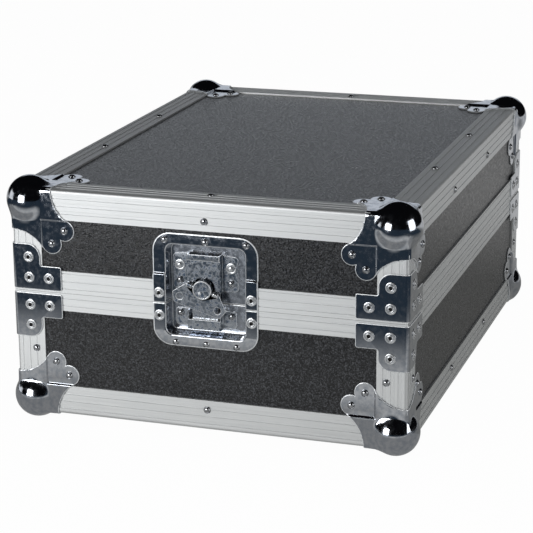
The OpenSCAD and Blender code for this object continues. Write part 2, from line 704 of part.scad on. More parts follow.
// Latch dishes: a flange that steps up over the rims, round a recess that is open at the split
function tray_outline(half, far, r, near) = concat(
    [[-half, near], [half, near]], arc(half - r, far - r, r, 0, 90), arc(r - half, far - r, r, 90, 180));
module dish(reach_y, pan_y, dome_places, ring_y, floor_places) {
    low_level = dish_t - edge_t;
    color(CHROME) difference() {
        union() {
            difference() {
                translate([0, 0, -edge_t]) linear_extrude(height = edge_t + dish_t)
                    polygon(tray_outline(dish_w / 2, reach_y, dish_r, half_gap));
                translate([-reach / 2, dish_step + dish_t, low_level]) cube([reach, reach, edge_t + 1]);
                translate([-reach / 2, -1, -edge_t - 1]) cube([reach, dish_step + 1, edge_t + 1]);
            }
            translate([0, 0, -pan_back]) linear_extrude(height = pan_back + eps)
                intersection() {
                    polygon(tray_outline(pan_w / 2 + dish_t, pan_y + dish_t, pan_r + dish_t, half_gap));
                    translate([-reach / 2, 0]) square([reach, dish_step]);
                }
            translate([0, 0, -pan_back]) linear_extrude(height = pan_back + low_level - eps)
                polygon(tray_outline(pan_w / 2 + dish_t, pan_y + dish_t, pan_r + dish_t, half_gap));
        }
        translate([0, 0, floor_level]) linear_extrude(height = pan_depth + 2 * dish_t)
            polygon(tray_outline(pan_w / 2, pan_y, pan_r, -1));
        holes(dome_places);
        holes([for (x = dish_ring_places) [x, ring_y]]);
        at_places(floor_places, -pan_back - 1) cylinder(h = dish_t + 2, r = hole_r);
        children();
    }
}
module upper_dish() {
    dish(dish_up, pan_up, upper_dish_domes, dish_rivet_up, concat(guide_domes, guide_rings))
        translate([latch_shift, spindle_up, -pan_back - 1]) cylinder(h = dish_t + 2, r = shaft_r + shaft_gap);
}
module lower_dish() {
    mirror([0, 1, 0]) dish(dish_down, pan_down, flip(lower_dish_domes), dish_rivet_down, flip(strike_rivets));
}
module front_upper_dish() { on_front() upper_dish(); }
module back_upper_dish() { on_back() upper_dish(); }
module front_lower_dish() { on_front() lower_dish(); }
module back_lower_dish() { on_back() lower_dish(); }

// A folded cover with two side flanges on the dish floor, shared by the guide and the strike
module cover(low, high, front_high, cap_low, flange_w, flange_low, flange_high) {
    depth = guide_level - floor_level;
    translate([-guide_x, low, guide_level - dish_t]) cube([2 * guide_x, front_high - low, dish_t]);
    translate([-guide_x, cap_low, floor_level]) cube([2 * guide_x, dish_t, depth]);
    for (side = [0, 1]) mirror([side, 0, 0]) {
        translate([guide_x - dish_t, low, floor_level]) cube([dish_t, high - low, depth]);
        translate([guide_x - dish_t, flange_low, floor_level])
            cube([flange_w + dish_t, flange_high - flange_low, dish_t]);
    }
}
module guide() {
    color(CHROME) difference() {
        translate([latch_shift, 0, 0])
            cover(guide_low, guide_up, guide_up, guide_up - dish_t,
                  guide_flange_w, guide_flange_low, guide_flange_up);
        translate([latch_shift, spindle_up, guide_level - 2 * dish_t])
            cylinder(h = 4 * dish_t, r = hub_hole_r);
        at_places(concat(guide_domes, guide_rings), -pan_back) cylinder(h = 3 * dish_t + 1, r = hole_r);
    }
}
module strike() {
    color(CHROME) difference() {
        translate([latch_shift, 0, 0])
            cover(-strike_down, -strike_low_side, -strike_down + strike_lip_h, -strike_down,
                  strike_flange_w, -strike_down + strike_flange_low, -strike_low_side);
        at_places(strike_rivets, -pan_back) cylinder(h = 3 * dish_t + 1, r = hole_r);
    }
}
module front_guide() { on_front() guide(); }
module back_guide() { on_back() guide(); }
module front_strike() { on_front() strike(); }
module back_strike() { on_back() strike(); }

// Spindle: hub, wing hinge pin, shaft through the dish floor, cam and riveted tail
module at_spindle() { translate([latch_shift, spindle_up, 0]) children(); }
module spindle() {
    color(CHROME) at_spindle() {
        translate([0, 0, hub_back]) cylinder(h = hub_front - hub_back, r = hub_r);
        translate([0, 0, hub_front]) rivet_dome(hub_r - 1, hub_dome_h);
        translate([0, 0, -pan_back - tail_gap - tail_t / 2])
            cylinder(h = pan_back + tail_gap + tail_t / 2 + hub_back + 1, r = shaft_r);
        translate([0, cam_throw, cam_level]) cylinder(h = cam_t, r = cam_r);
        translate([0, 0, -pan_back - tail_gap - tail_t]) cylinder(h = tail_t, r = tail_r);
        translate([0, 0, wing_level]) rotate([0, 0, -wing_tilt]) rotate([0, 90, 0])
            cylinder(h = 2 * knuckle_out, r = wing_pin_r, center = true);
    }
}
module front_spindle() { on_front() spindle(); }
module back_spindle() { on_back() spindle(); }

// Wing: a plate round the hub with two knuckles on the hinge pin
wing_outline = [[-wing_shoulder, wing_back], [wing_shoulder, wing_back], [wing_tip, -wing_widest],
                [wing_tip - wing_taper, -wing_drop], [wing_taper - wing_tip, -wing_drop],
                [-wing_tip, -wing_widest]];
module wing() {
    color(CHROME) at_spindle() translate([0, 0, wing_level]) rotate([0, 0, -wing_tilt]) difference() {
        union() {
            translate([0, 0, -wing_t / 2]) linear_extrude(height = wing_t) difference() {
                polygon(wing_outline);
                circle(r = hub_r + wing_hub_gap);
                for (x = both(wing_tip - wing_hole_in)) translate([x, -wing_hole_drop])
                    circle(r = wing_hole_r);
            }
            for (side = [0, 1]) mirror([side, 0, 0]) translate([knuckle_in, 0, 0]) rotate([0, 90, 0])
                cylinder(h = knuckle_out - knuckle_in, r = knuckle_r);
        }
        rotate([0, 90, 0]) cylinder(h = 3 * knuckle_out, r = wing_pin_r + wing_pin_gap, center = true);
    }
}
module front_wing() { on_front() wing(); }
module back_wing() { on_back() wing(); }

// Draw hook: slides in the guide, moved by the cam in its window
module hook() {
    top = spindle_up + cam_throw + window_h / 2 + window_rim;
    color(CHROME) translate([latch_shift, 0, hook_level]) difference() {
        union() {
            translate([-hook_w / 2, -hook_shoulder, 0]) cube([hook_w, top + hook_shoulder, hook_t]);
            translate([-nose_w / 2, -nose_down, 0]) cube([nose_w, nose_down, hook_t]);
            translate([-nose_w / 2, -nose_down, 0]) cube([nose_w, nose_lip_h, hook_t + nose_lip]);
        }
        translate([-window_w / 2, spindle_up + cam_throw - window_h / 2, -1])
            cube([window_w, window_h, hook_t + 2]);
    }
}
module front_hook() { on_front() hook(); }
module back_hook() { on_back() hook(); }

// Foam lining
pad_x = case_w / 2 - panel_in - pad_gap;
pad_y = case_d / 2 - panel_in - pad_gap;
pocket_gap = 0.8;         // clearance behind the spindle's tail
pocket_side = 2;          // clearance round the dish
pocket_depth = pan_back + tail_gap + tail_t + pocket_gap;
module cap_pad() { translate([-pad_x, -pad_y, 0]) cube([2 * pad_x, 2 * pad_y, pad_t]); }
module wall_pad(half, low, high, pocket_low, pocket_high) {
    difference() {
        translate([-half, low, -panel_in - pad_gap - wall_pad_t]) cube([2 * half, high - low, wall_pad_t]);
        if (pocket_high > pocket_low)
            translate([-cut_half - pocket_side, pocket_low, -pocket_depth])
                cube([2 * (cut_half + pocket_side), pocket_high - pocket_low, pocket_depth]);
    }
}
module wall_pads(low, high, pocket_low, pocket_high) {
    color(FOAM) {
        on_front() wall_pad(pad_x, low, high, pocket_low, pocket_high);
        on_back() wall_pad(pad_x, low, high, pocket_low, pocket_high);
        on_left() wall_pad(pad_y - wall_pad_t - pad_gap, low, high, 0, 0);
        on_right() wall_pad(pad_y - wall_pad_t - pad_gap, low, high, 0, 0);
    }
}
module base_floor_pad() { color(FOAM) translate([0, 0, foot_h + panel_in + pad_gap]) cap_pad(); }
module lid_top_pad() { color(FOAM) translate([0, 0, top_z - panel_in - pad_gap - pad_t]) cap_pad(); }
module base_wall_pads() {
    wall_pads(-base_h + panel_in + 2 * pad_gap + pad_t, -pad_split_gap, -cut_down - pocket_side, 0);
}
module lid_wall_pads() {
    wall_pads(pad_split_gap, lid_h - panel_in - 2 * pad_gap - pad_t, 0, cut_up + pocket_side);
}

base_bottom_panel();
base_front_panel();
base_back_panel();
base_left_panel();
base_right_panel();
base_front_edge();
base_back_edge();
base_left_edge();
base_right_edge();
base_corner_posts();
base_rim();
base_ball_front_left();
base_ball_front_right();
base_ball_back_left();
base_ball_back_right();
base_braces();
base_dome_rivets();
base_ring_rivets();
front_lower_dish();
back_lower_dish();
front_strike();
back_strike();
base_floor_pad();
base_wall_pads();
lid_top_panel();
lid_front_panel();
lid_back_panel();
lid_left_panel();
lid_right_panel();
lid_front_edge();
lid_back_edge();
lid_left_edge();
lid_right_edge();
lid_corner_posts();
lid_rim();
lid_ball_front_left();
lid_ball_front_right();
lid_ball_back_left();
lid_ball_back_right();
lid_braces();
lid_dome_rivets();
lid_ring_rivets();
front_upper_dish();
back_upper_dish();
front_guide();
back_guide();
front_spindle();
back_spindle();
front_wing();
back_wing();
front_hook();
back_hook();
lid_top_pad();
lid_wall_pads();
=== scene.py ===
"""Looks of the mixer flight case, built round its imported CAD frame.

Pieces are modelled in millimetres on a bench, each in the frame of the face or corner that carries it,
and are then settled in the shared frame in metres.
"""

import logging
import math
from contextlib import contextmanager
from dataclasses import dataclass, field
from enum import Enum
from typing import Any, Callable, Iterable, Iterator, Sequence

import bmesh
import bpy
from mathutils import Matrix, Vector, noise


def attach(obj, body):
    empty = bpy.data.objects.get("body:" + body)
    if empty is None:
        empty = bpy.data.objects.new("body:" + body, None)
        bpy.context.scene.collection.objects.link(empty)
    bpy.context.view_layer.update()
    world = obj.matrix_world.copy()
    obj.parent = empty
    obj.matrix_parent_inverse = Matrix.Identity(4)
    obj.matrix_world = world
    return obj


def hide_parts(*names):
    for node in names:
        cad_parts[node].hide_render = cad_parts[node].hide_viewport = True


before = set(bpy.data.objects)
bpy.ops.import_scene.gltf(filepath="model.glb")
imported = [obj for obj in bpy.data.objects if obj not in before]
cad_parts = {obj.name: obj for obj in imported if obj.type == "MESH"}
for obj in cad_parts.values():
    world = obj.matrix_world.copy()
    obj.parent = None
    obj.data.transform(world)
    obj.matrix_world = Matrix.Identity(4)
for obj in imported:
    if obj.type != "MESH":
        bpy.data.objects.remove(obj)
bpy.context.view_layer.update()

MM = 0.001
IMAGE_SIDE = 533
AXES = (Vector((1, 0, 0)), Vector((0, 1, 0)), Vector((0, 0, 1)))
IN_PLACE = Matrix.Identity(4)
NEXT_AXES = Matrix(((0, 0, 1, 0), (1, 0, 0, 0), (0, 1, 0, 0), (0, 0, 0, 1)))

Point = tuple[float, float]
Place = tuple[float, float, float]
Outline = list[Point]
Profile = tuple[Point, ...]
Ring = list[Vector]
Colour = tuple[float, float, float, float]
Face = bmesh.types.BMFace
FaceTest = Callable[[Face], bool]
EdgeTest = Callable[[bmesh.types.BMEdge], bool]
Material = bpy.types.Material
Tree = bpy.types.NodeTree
Node = bpy.types.Node
Socket = bpy.types.NodeSocket

log = logging.getLogger("mixer_case")


def to_linear(shade: str) -> Colour:
    """Turns an sRGB colour to the linear one that nodes take.

    Args:
        shade: The colour as #rrggbb.

    Returns:
        Red, green, blue and an alpha of 1.
    """
    parts = [int(shade[i:i + 2], 16) / 255 for i in (1, 3, 5)]
    red, green, blue = (p / 12.92 if p <= 0.04045 else ((p + 0.055) / 1.055) ** 2.4 for p in parts)
    return red, green, blue, 1.0


def bare_tree(owner: Material | bpy.types.World) -> Tree:
    """Gives a material or a world an empty node tree.

    Args:
        owner: The material or world.

    Returns:
        Its empty node tree.
    """
    owner.use_nodes = True
    owner.node_tree.nodes.clear()
    return owner.node_tree


def result(node: Node) -> Socket:
    """The node's first output that is in use."""
    return next(socket for socket in node.outputs if socket.enabled)


def add_node(tree: Tree, kind: str, inputs: dict[Any, Any] | None = None,
             **settings: Any) -> Node:
    """Adds a node with its settings, values and links.

    Args:
        tree: The node tree that gets the node.
        kind: The node's type.
        inputs: Values, hex colours, or the nodes or sockets to link, by the input's name or number.
        **settings: The node's own properties.

    Returns:
        The new node.
    """
    node = tree.nodes.new(kind)
    for name, value in settings.items():
        setattr(node, name, value)
    for key, value in (inputs or {}).items():
        source = result(value) if isinstance(value, Node) else value
        if isinstance(source, Socket):
            tree.links.new(source, node.inputs[key])
        else:
            node.inputs[key].default_value = to_linear(value) if isinstance(value, str) else value
    return node


def smooth_step(low: float, high: float, value: float) -> float:
    """Rises smoothly from 0 at low to 1 at high."""
    share = min(max((value - low) / (high - low), 0.0), 1.0)
    return share * share * (3 - 2 * share)


def blended_max(first: float, second: float, width: float) -> float:
    """The larger of two lengths, rounded off where they are closer than width."""
    overlap = max(width - abs(first - second), 0.0) / width
    return max(first, second) + overlap * overlap * width / 4


def spread(low: float, high: float, steps: int) -> list[float]:
    """Places spread evenly from low to high, both of them included."""
    return [low + (high - low) * i / steps for i in range(steps + 1)]


def arc(centre: Point, radius: float, start: float, end: float, steps: int) -> Outline:
    """Points along an arc."""
    angles = [math.radians(a) for a in spread(start, end, steps)]
    return [(centre[0] + radius * math.cos(a), centre[1] + radius * math.sin(a)) for a in angles]


def rounded_box(half: float, low: float, high: float, radius: float, steps: int = 8) -> Outline:
    """The outline of a rounded rectangle that is centred across.

    Args:
        half: Half of its width.
        low: Its lower side.
        high: Its upper side.
        radius: Corner radius.
        steps: Chords in each corner.

    Returns:
        The points, anticlockwise from the lower right corner.
    """
    corners = ((half - radius, low + radius, -90), (half - radius, high - radius, 0),
               (radius - half, high - radius, 90), (radius - half, low + radius, 180))
    return [p for x, y, turn in corners for p in arc((x, y), radius, turn, turn + 90, steps)]


def rectangle(low: Point, high: Point) -> Outline:
    """The outline of a rectangle between two corners, anticlockwise."""
    return [low, (high[0], low[1]), high, (low[0], high[1])]


def mirrored(outline: Outline) -> Outline:
    """An outline's other half, mirrored across and in reverse order."""
    return [(-x, y) for x, y in reversed(outline)]


class Bench:
    """A mesh being shaped in millimetres, with the tools that a modeller uses by hand."""

    def __init__(self, name: str) -> None:
        """Takes the object that was just added.

        Args:
            name: The name it gets.
        """
        self.piece = bpy.context.active_object
        self.piece.name = name
        self.piece.data.name = name

    @classmethod
    def sheet(cls, name: str, outline: Outline, level: float = 0.0) -> "Bench":
        """Adds a filled circle and pulls its rim to an outline.

        Args:
            name: Name of the piece.
            outline: Points of the rim; anticlockwise ones make it face up.
            level: Height of the sheet.

        Returns:
            The bench with the flat sheet.
        """
        bpy.ops.object.select_all(action="DESELECT")
        bpy.ops.mesh.primitive_circle_add(vertices=len(outline), fill_type="NGON")
        bench = cls(name)
        with bench.editing() as shape:
            for loop, (x, y) in zip(list(shape.faces)[0].loops, outline):
                loop.vert.co = (x, y, level)
        return bench

    @classmethod
    def loft(cls, name: str, rings: Sequence[Ring], capped: bool = True) -> "Bench":
        """Adds a circle for the first ring and extrudes it from ring to ring.

        Args:
            name: Name of the piece.
            rings: The rings, all with as many points.
            capped: Whether the first ring is filled; the last one always is.

        Returns:
            The bench with the loft.
        """
        bpy.ops.object.select_all(action="DESELECT")
        bpy.ops.mesh.primitive_circle_add(vertices=len(rings[0]),
                                          fill_type="NGON" if capped else "NOTHING")
        bench = cls(name)
        with bench.editing() as shape:
            places = {vert.index: i for i, vert in enumerate(shape.verts)}
            for vert in shape.verts:
                vert.co = rings[0][places[vert.index]]
            bpy.ops.mesh.select_all(action="SELECT")
            if capped:
                bench.select_edges(lambda edge: True)
            for ring in rings[1:]:
                bpy.ops.mesh.extrude_edges_move()
                shape = bmesh.from_edit_mesh(bench.piece.data)
                shape.verts.index_update()
                links = [edge.verts for edge in shape.edges if edge.verts[0].select != edge.verts[1].select]
                places = {new.index: places[old.index] for new, old in
                          ((a, b) if a.select else (b, a) for a, b in links) if old.index in places}
                for vert in shape.verts:
                    if vert.index in places:
                        vert.co = ring[places[vert.index]]
            bpy.ops.mesh.edge_face_add()
            bench.turn_outward()
        return bench

    @classmethod
    def turned(cls, name: str, profile: Sequence[Point], steps: int) -> "Bench":
        """Turns a profile about the upright axis, as on a lathe.

        Args:
            name: Name of the piece.
            profile: Radius and height of each ring.
            steps: Chords round the axis.

        Returns:
            The bench with the closed body.
        """
        last = 360 - 360 / steps
        return cls.loft(name, [[Vector((x, y, height)) for x, y in arc((0, 0), radius, 0, last, steps - 1)]
                               for radius, height in profile])

    @classmethod
    def block(cls, name: str, low: Sequence[float], high: Sequence[float]) -> "Bench":
        """Adds a cube between two corners.

        Args:
            name: Name of the piece.
            low: Its lowest corner.
            high: Its highest corner.

        Returns:
            The bench with the box.
        """
        low, high = Vector(low), Vector(high)
        bpy.ops.object.select_all(action="DESELECT")
        bpy.ops.mesh.primitive_cube_add(size=1, location=(low + high) / 2, scale=high - low)
        bench = cls(name)
        bpy.ops.object.transform_apply(location=True, rotation=True, scale=True)
        return bench

    def activate(self) -> None:
        """Selects this piece alone."""
        bpy.ops.object.select_all(action="DESELECT")
        self.piece.select_set(True)
        bpy.context.view_layer.objects.active = self.piece

    @contextmanager
    def editing(self) -> Iterator[bmesh.types.BMesh]:
        """Opens the piece in edit mode with nothing selected."""
        self.activate()
        bpy.ops.object.mode_set(mode="EDIT")
        bpy.ops.mesh.select_mode(type="VERT")
        bpy.ops.mesh.select_all(action="DESELECT")
        yield bmesh.from_edit_mesh(self.piece.data)
        bmesh.update_edit_mesh(self.piece.data)
        bpy.ops.object.mode_set(mode="OBJECT")

    def select_faces(self, test: FaceTest) -> None:
        """Selects, in edit mode, the faces that pass a test, and nothing else.

        Args:
            test: Tells which ones.
        """
        bpy.ops.mesh.select_all(action="DESELECT")
        bpy.ops.mesh.select_mode(type="FACE")
        shape = bmesh.from_edit_mesh(self.piece.data)
        shape.normal_update()
        for face in shape.faces:
            face.select_set(test(face))
        shape.select_flush_mode()

    def select_edges(self, test: EdgeTest) -> None:
        """Selects, in edit mode, the edges that pass a test, and nothing else.

        Args:
            test: Tells which ones.
        """
        bpy.ops.mesh.select_all(action="DESELECT")
        bpy.ops.mesh.select_mode(type="EDGE")
        shape = bmesh.from_edit_mesh(self.piece.data)
        for edge in shape.edges:
            edge.select_set(test(edge))
        shape.select_flush_mode()

    @staticmethod
    def turn_outward() -> None:
        """Turns, in edit mode, every face outward."""
        bpy.ops.mesh.select_all(action="SELECT")
        bpy.ops.mesh.normals_make_consistent(inside=False)

    def slice(self, axis: int, places: Iterable[float]) -> "Bench":
        """Cuts the mesh right across at each place along an axis.

        Args:
            axis: Number of the axis.
            places: Where it is cut, in millimetres.

        Returns:
            This bench.
        """
        with self.editing():
            for place in places:
                bpy.ops.mesh.select_all(action="SELECT")
                bpy.ops.mesh.bisect(plane_co=AXES[axis] * place, plane_no=AXES[axis])
        return self

    def trim(self, axis: int, place: float, keep_above: bool) -> "Bench":
        """Cuts off what lies on one side of a plane across an axis.

        Args:
            axis: The plane's axis.
            place: Where the plane is, in millimetres.
            keep_above: Whether the part above the plane stays.

        Returns:
            This bench.
        """
        with self.editing():
            bpy.ops.mesh.select_all(action="SELECT")
            bpy.ops.mesh.bisect(plane_co=AXES[axis] * place, plane_no=AXES[axis],
                                clear_inner=keep_above, clear_outer=not keep_above)
        return self

    def reshape(self, move: Callable[[Vector], Vector]) -> "Bench":
        """Moves each vertex to where a function puts it.

        Args:
            move: Gives a vertex's new place.

        Returns:
            This bench.
        """
        with self.editing() as shape:
            for vert in shape.verts:
                vert.co = move(vert.co.copy())
        return self

    def raised(self, height: float) -> "Bench":
        """Extrudes the whole flat sheet to a plate of some height.

        Args:
            height: Thickness of the plate.

        Returns:
            This bench.
        """
        with self.editing():
            bpy.ops.mesh.select_mode(type="FACE")
            bpy.ops.mesh.select_all(action="SELECT")
            bpy.ops.mesh.extrude_region_move(TRANSFORM_OT_translate={"value": (0, 0, height)})
            self.turn_outward()
        return self

    def facing(self, away_from: Vector | None = None) -> "Bench":
        """Turns an open sheet's faces up, or away from a point where one is given.

        Args:
            away_from: A point that the faces turn away from.

        Returns:
            This bench.
        """
        with self.editing() as shape:
            shape.normal_update()
            total = sum(face.calc_area() * face.normal.dot(
                face.calc_center_median() - away_from if away_from else AXES[2]) for face in shape.faces)
            if total < 0:
                bpy.ops.mesh.select_all(action="SELECT")
                bpy.ops.mesh.flip_normals()
        return self

    def merged(self, distance: float) -> "Bench":
        """Merges the vertices that lie closer than a distance.

        Args:
            distance: The distance, in millimetres.

        Returns:
            This bench.
        """
        with self.editing():
            bpy.ops.mesh.select_all(action="SELECT")
            bpy.ops.mesh.remove_doubles(threshold=distance)
        return self

    def modified(self, kind: str, **settings: Any) -> "Bench":
        """Adds a modifier with its settings and applies it.

        Args:
            kind: The modifier's type.
            **settings: Its properties.

        Returns:
            This bench.
        """
        modifier = self.piece.modifiers.new(kind.lower(), kind)
        for name, value in settings.items():
            setattr(modifier, name, value)
        self.activate()
        bpy.ops.object.modifier_apply(modifier=modifier.name)
        return self

    def inset(self, width: float) -> "Bench":
        """Insets the flat sheet's rim, ready to be rounded down.

        Args:
            width: Width of the inset.

        Returns:
            This bench.
        """
        with self.editing():
            bpy.ops.mesh.select_mode(type="FACE")
            bpy.ops.mesh.select_all(action="SELECT")
            bpy.ops.mesh.inset(thickness=width, use_boundary=True, use_even_offset=True)
        return self

    def lipped(self, drop: float, painted_highlight_faces: FaceTest = lambda face: False) -> "Bench":
        """Rounds the sheet's free rim down, and gives it the finish of a bare edge with a painted highlight.

        Args:
            drop: How far the rim is drawn down.
            painted_highlight_faces: Which other faces have that finish too, as a painted highlight only.

        Returns:
            This bench.
        """
        self.marked(lambda face: any(vert.is_boundary for vert in face.verts) or painted_highlight_faces(face))
        with self.editing() as shape:
            shape.normal_update()
            for vert in shape.verts:
                if vert.is_boundary:
                    vert.co -= vert.normal * drop
        return self

    def marked(self, wanted: FaceTest) -> "Bench":
        """Gives some faces the piece's second finish, in a slot that a join keeps apart.

        Args:
            wanted: Tells which faces.

        Returns:
            This bench.
        """
        self.piece.data.materials.clear()
        for name in ("flat", "edge"):
            self.piece.data.materials.append(bpy.data.materials.get(name) or bpy.data.materials.new(name))
        with self.editing() as shape:
            for face in shape.faces:
                face.material_index = int(wanted(face))
        return self

    def walled(self, thickness: float) -> "Bench":
        """Gives the sheet a wall behind its faces."""
        return self.modified("SOLIDIFY", thickness=thickness, offset=-1, use_even_offset=True,
                             use_quality_normals=True)

    def eased(self, width: float, segments: int = 2, angle: float = 50, wear_and_highlight: bool = False) -> "Bench":
        """Rounds every edge sharper than an angle.

        Args:
            width: Width of the rounding.
            segments: Its steps.
            angle: Flatter edges, in degrees, stay as they are.
            wear_and_highlight: Whether the rounding gets the finish of a bare edge with a painted highlight.

        Returns:
            This bench.
        """
        slots = self.piece.data.materials
        while wear_and_highlight and len(slots) < 2:
            slots.append(None)
        return self.modified("BEVEL", width=width, segments=segments, limit_method="ANGLE",
                             angle_limit=math.radians(angle), use_clamp_overlap=False,
                             material=1 if wear_and_highlight else -1)

    def cut(self, cutter: "Bench", operation: str = "DIFFERENCE") -> "Bench":
        """Cuts another piece out of this one, or joins it on, and clears that piece away.

        Args:
            cutter: The other piece.
            operation: DIFFERENCE, or UNION to join it on.

        Returns:
            This bench.
        """
        self.modified("BOOLEAN", object=cutter.piece, operation=operation, solver="EXACT")
        cutter.discard()
        return self

    def copied(self, name: str, place: Matrix) -> "Bench":
        """Copies the piece with its own mesh to another place, the right way out where that mirrors it.

        Args:
            name: Name of the copy.
            place: Where it goes.

        Returns:
            The bench with the copy.
        """
        mesh = self.piece.data.copy()
        mesh.transform(place)
        if place.to_3x3().determinant() < 0:
            mesh.flip_normals()
        piece = bpy.data.objects.new(name, mesh)
        bpy.context.collection.objects.link(piece)
        bpy.context.view_layer.objects.active = piece
        return Bench(name)

    def joined(self, others: Sequence["Bench"]) -> "Bench":
        """Joins other pieces to this one.

        Args:
            others: The pieces that it takes up.

        Returns:
            This bench.
        """
        self.activate()
        for other in others:
            other.piece.select_set(True)
        bpy.ops.object.join()
        return self

    def discard(self) -> None:
        """Clears the piece away."""
        mesh = self.piece.data
        bpy.data.objects.remove(self.piece)
        bpy.data.meshes.remove(mesh)

    def settled(self, material: Material, body: str, slot: str, replaced: Sequence[str],
                place: Matrix = IN_PLACE, soft_angle: float = 40,
                edge: Material | None = None) -> bpy.types.Object:
        """Puts the finished piece in the shared frame, dresses it and ties it to its body.

        Args:
            material: Its finish.
            body: The CAD body that it moves with.
            slot: Not used.
            replaced: CAD nodes that it stands for.
            place: Where its own frame lies, in millimetres.
            soft_angle: Edges flatter than this, in degrees, are shaded smooth.
            edge: The finish of its second slot, where it has one: bare edges with a painted highlight, or
                painted shade in a rivet's hollow.

        Returns:
            The finished object.
        """
        mesh = self.piece.data
        mesh.transform(Matrix.Scale(MM, 4) @ place)
        if place.to_3x3().determinant() < 0:
            mesh.flip_normals()
        if edge:
            mesh.materials[0], mesh.materials[1] = material, edge
        else:
            mesh.materials.clear()
            mesh.materials.append(material)
        self.activate()
        bpy.ops.object.shade_smooth_by_angle(angle=math.radians(soft_angle))
        self.modified("WEIGHTED_NORMAL", keep_sharp=True, weight=80)
        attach(self.piece, body)
        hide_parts(*replaced)
        log.info("%s: %d faces on %s", self.piece.name, len(mesh.polygons), body)
        return self.piece


class Run(Enum):
    """Which way an extrusion was drawn through its die."""

    ACROSS = (0.01, 1, 1)
    DEEP = (1, 0.01, 1)
    UPRIGHT = (1, 1, 0.01)


@dataclass(frozen=True)
class Finish:
    """A surface finish: its name, its typical shader values, and the nodes that give it its detail."""

    title: str = "finish"
    metallic: float = 0.0
    roughness: float = 0.5

    def material(self) -> Material:
        """Makes the material, with the shader's constants on its own sockets."""
        made = bpy.data.materials.new(self.title)
        tree = bare_tree(made)
        shader = add_node(tree, "ShaderNodeBsdfPrincipled", {"Metallic": self.metallic,
                                                             "Roughness": self.roughness})
        add_node(tree, "ShaderNodeOutputMaterial", {"Surface": shader})
        place = add_node(tree, "ShaderNodeTexCoord").outputs["Object"]
        for name, node in self.dress(tree, place).items():
            tree.links.new(result(node), shader.inputs[name])
        return made

    def dress(self, tree: Tree, place: Socket) -> dict[str, Node]:
        """Adds the finish's own detail."""
        raise NotImplementedError

    @staticmethod
    def noise(tree: Tree, place: Socket, grain: float,
              span: Point = (0.3, 0.7), detail: float = 3.0) -> Node:
        """Soft noise stretched from 0 to 1.

        Args:
            tree: The material's nodes.
            place: Coordinates that it follows.
            grain: Size of its blotches, in millimetres.
            span: The noise that becomes 0 and 1.
            detail: Octaves of finer noise on top.

        Returns:
            The node with the value.
        """
        blotches = add_node(tree, "ShaderNodeTexNoise", {"Vector": place, "Scale": 1 / (grain * MM),
                                                         "Detail": detail})
        return add_node(tree, "ShaderNodeMapRange", {"Value": blotches, "From Min": span[0],
                                                     "From Max": span[1]})


@dataclass(frozen=True)
class PebbledLaminate(Finish):
    """Black high-pressure laminate, pressed with a pebble grain, on birch plywood.

    The grain's glints are painted into its colour as fine grey sparks; the inner faces show pale veneer.
    """

    title: str = "pebbled black laminate on birch plywood"
    roughness: float = 0.29
    gloss: float = 2.2
    gloss_range: Point = (-0.07, 0.1)
    pebble: float = 1.2
    pebble_height: float = 0.3
    pebble_strength: float = 0.55
    glint_size: float = 1.25
    glint_span: Point = (0.48, 0.7)
    cloud: float = 60.0
    cloud_share: float = 0.2
    veneer_grain: float = 9.0
    veneer_span: Point = (0.35, 0.65)
    veneer_run: tuple[float, float, float] = (0.06, 1, 1)
    skin: tuple[float, float, float] = (196.6, 266.1, 110.0)
    skin_middle: float = 124.0

    def dress(self, tree: Tree, place: Socket) -> dict[str, Node]:
        """Adds the pebbles, the painted glints and the veneer inside.

        Args:
            tree: The nodes to add to.
            place: Object coordinates, in metres.

        Returns:
            The nodes that the shader's inputs take.
        """
        # Painted glints: grey sparks in the colour stand for light caught by the pebble grain
        painted_glints = self.noise(tree, place, self.glint_size, self.glint_span, 1.0)
        clouds = add_node(tree, "ShaderNodeMapRange", {
            "Value": self.noise(tree, place, self.cloud), "To Min": 0.0, "To Max": self.cloud_share})
        glint_speckled = add_node(tree, "ShaderNodeMix", {"Factor": painted_glints, "A": "#101113", "B": "#4c4e52"},
                            data_type="RGBA")
        black = add_node(tree, "ShaderNodeMix", {"Factor": clouds, "A": glint_speckled, "B": "#202224"},
                         data_type="RGBA")
        apart = add_node(tree, "ShaderNodeSeparateXYZ", {"Vector": place})
        rise = add_node(tree, "ShaderNodeMath", {0: apart.outputs["Z"], 1: self.skin_middle * MM},
                        operation="SUBTRACT")
        outside = None
        for part, reach in zip((apart.outputs["X"], apart.outputs["Y"], rise), self.skin):
            size = add_node(tree, "ShaderNodeMath", {0: part}, operation="ABSOLUTE")
            beyond = add_node(tree, "ShaderNodeMath", {0: size, 1: reach * MM}, operation="GREATER_THAN")
            outside = beyond if outside is None else add_node(
                tree, "ShaderNodeMath", {0: outside, 1: beyond}, operation="MAXIMUM")
        stretched = add_node(tree, "ShaderNodeMapping", {"Vector": place, "Scale": self.veneer_run})
        figure = self.noise(tree, result(stretched), self.veneer_grain, self.veneer_span)
        veneer = add_node(tree, "ShaderNodeMix", {"Factor": figure, "A": "#b08a5c", "B": "#d2b083"},
                          data_type="RGBA")
        low, high = self.gloss_range
        # The real grain is about 1 mm; it is drawn a fifth coarser, so that it shows
        pebbles = add_node(tree, "ShaderNodeTexVoronoi", {"Vector": place, "Scale": 1 / (self.pebble * MM)},
                           feature="SMOOTH_F1")
        return {
            "Base Color": add_node(tree, "ShaderNodeMix", {"Factor": outside, "A": veneer, "B": black},
                                   data_type="RGBA"),
            "Roughness": add_node(tree, "ShaderNodeMapRange", {
                "Value": self.noise(tree, place, self.gloss, detail=1.0),
                "To Min": self.roughness + low, "To Max": self.roughness + high}),
            "Normal": add_node(tree, "ShaderNodeBump", {
                "Height": pebbles, "Strength": self.pebble_strength, "Distance": self.pebble_height * MM})}


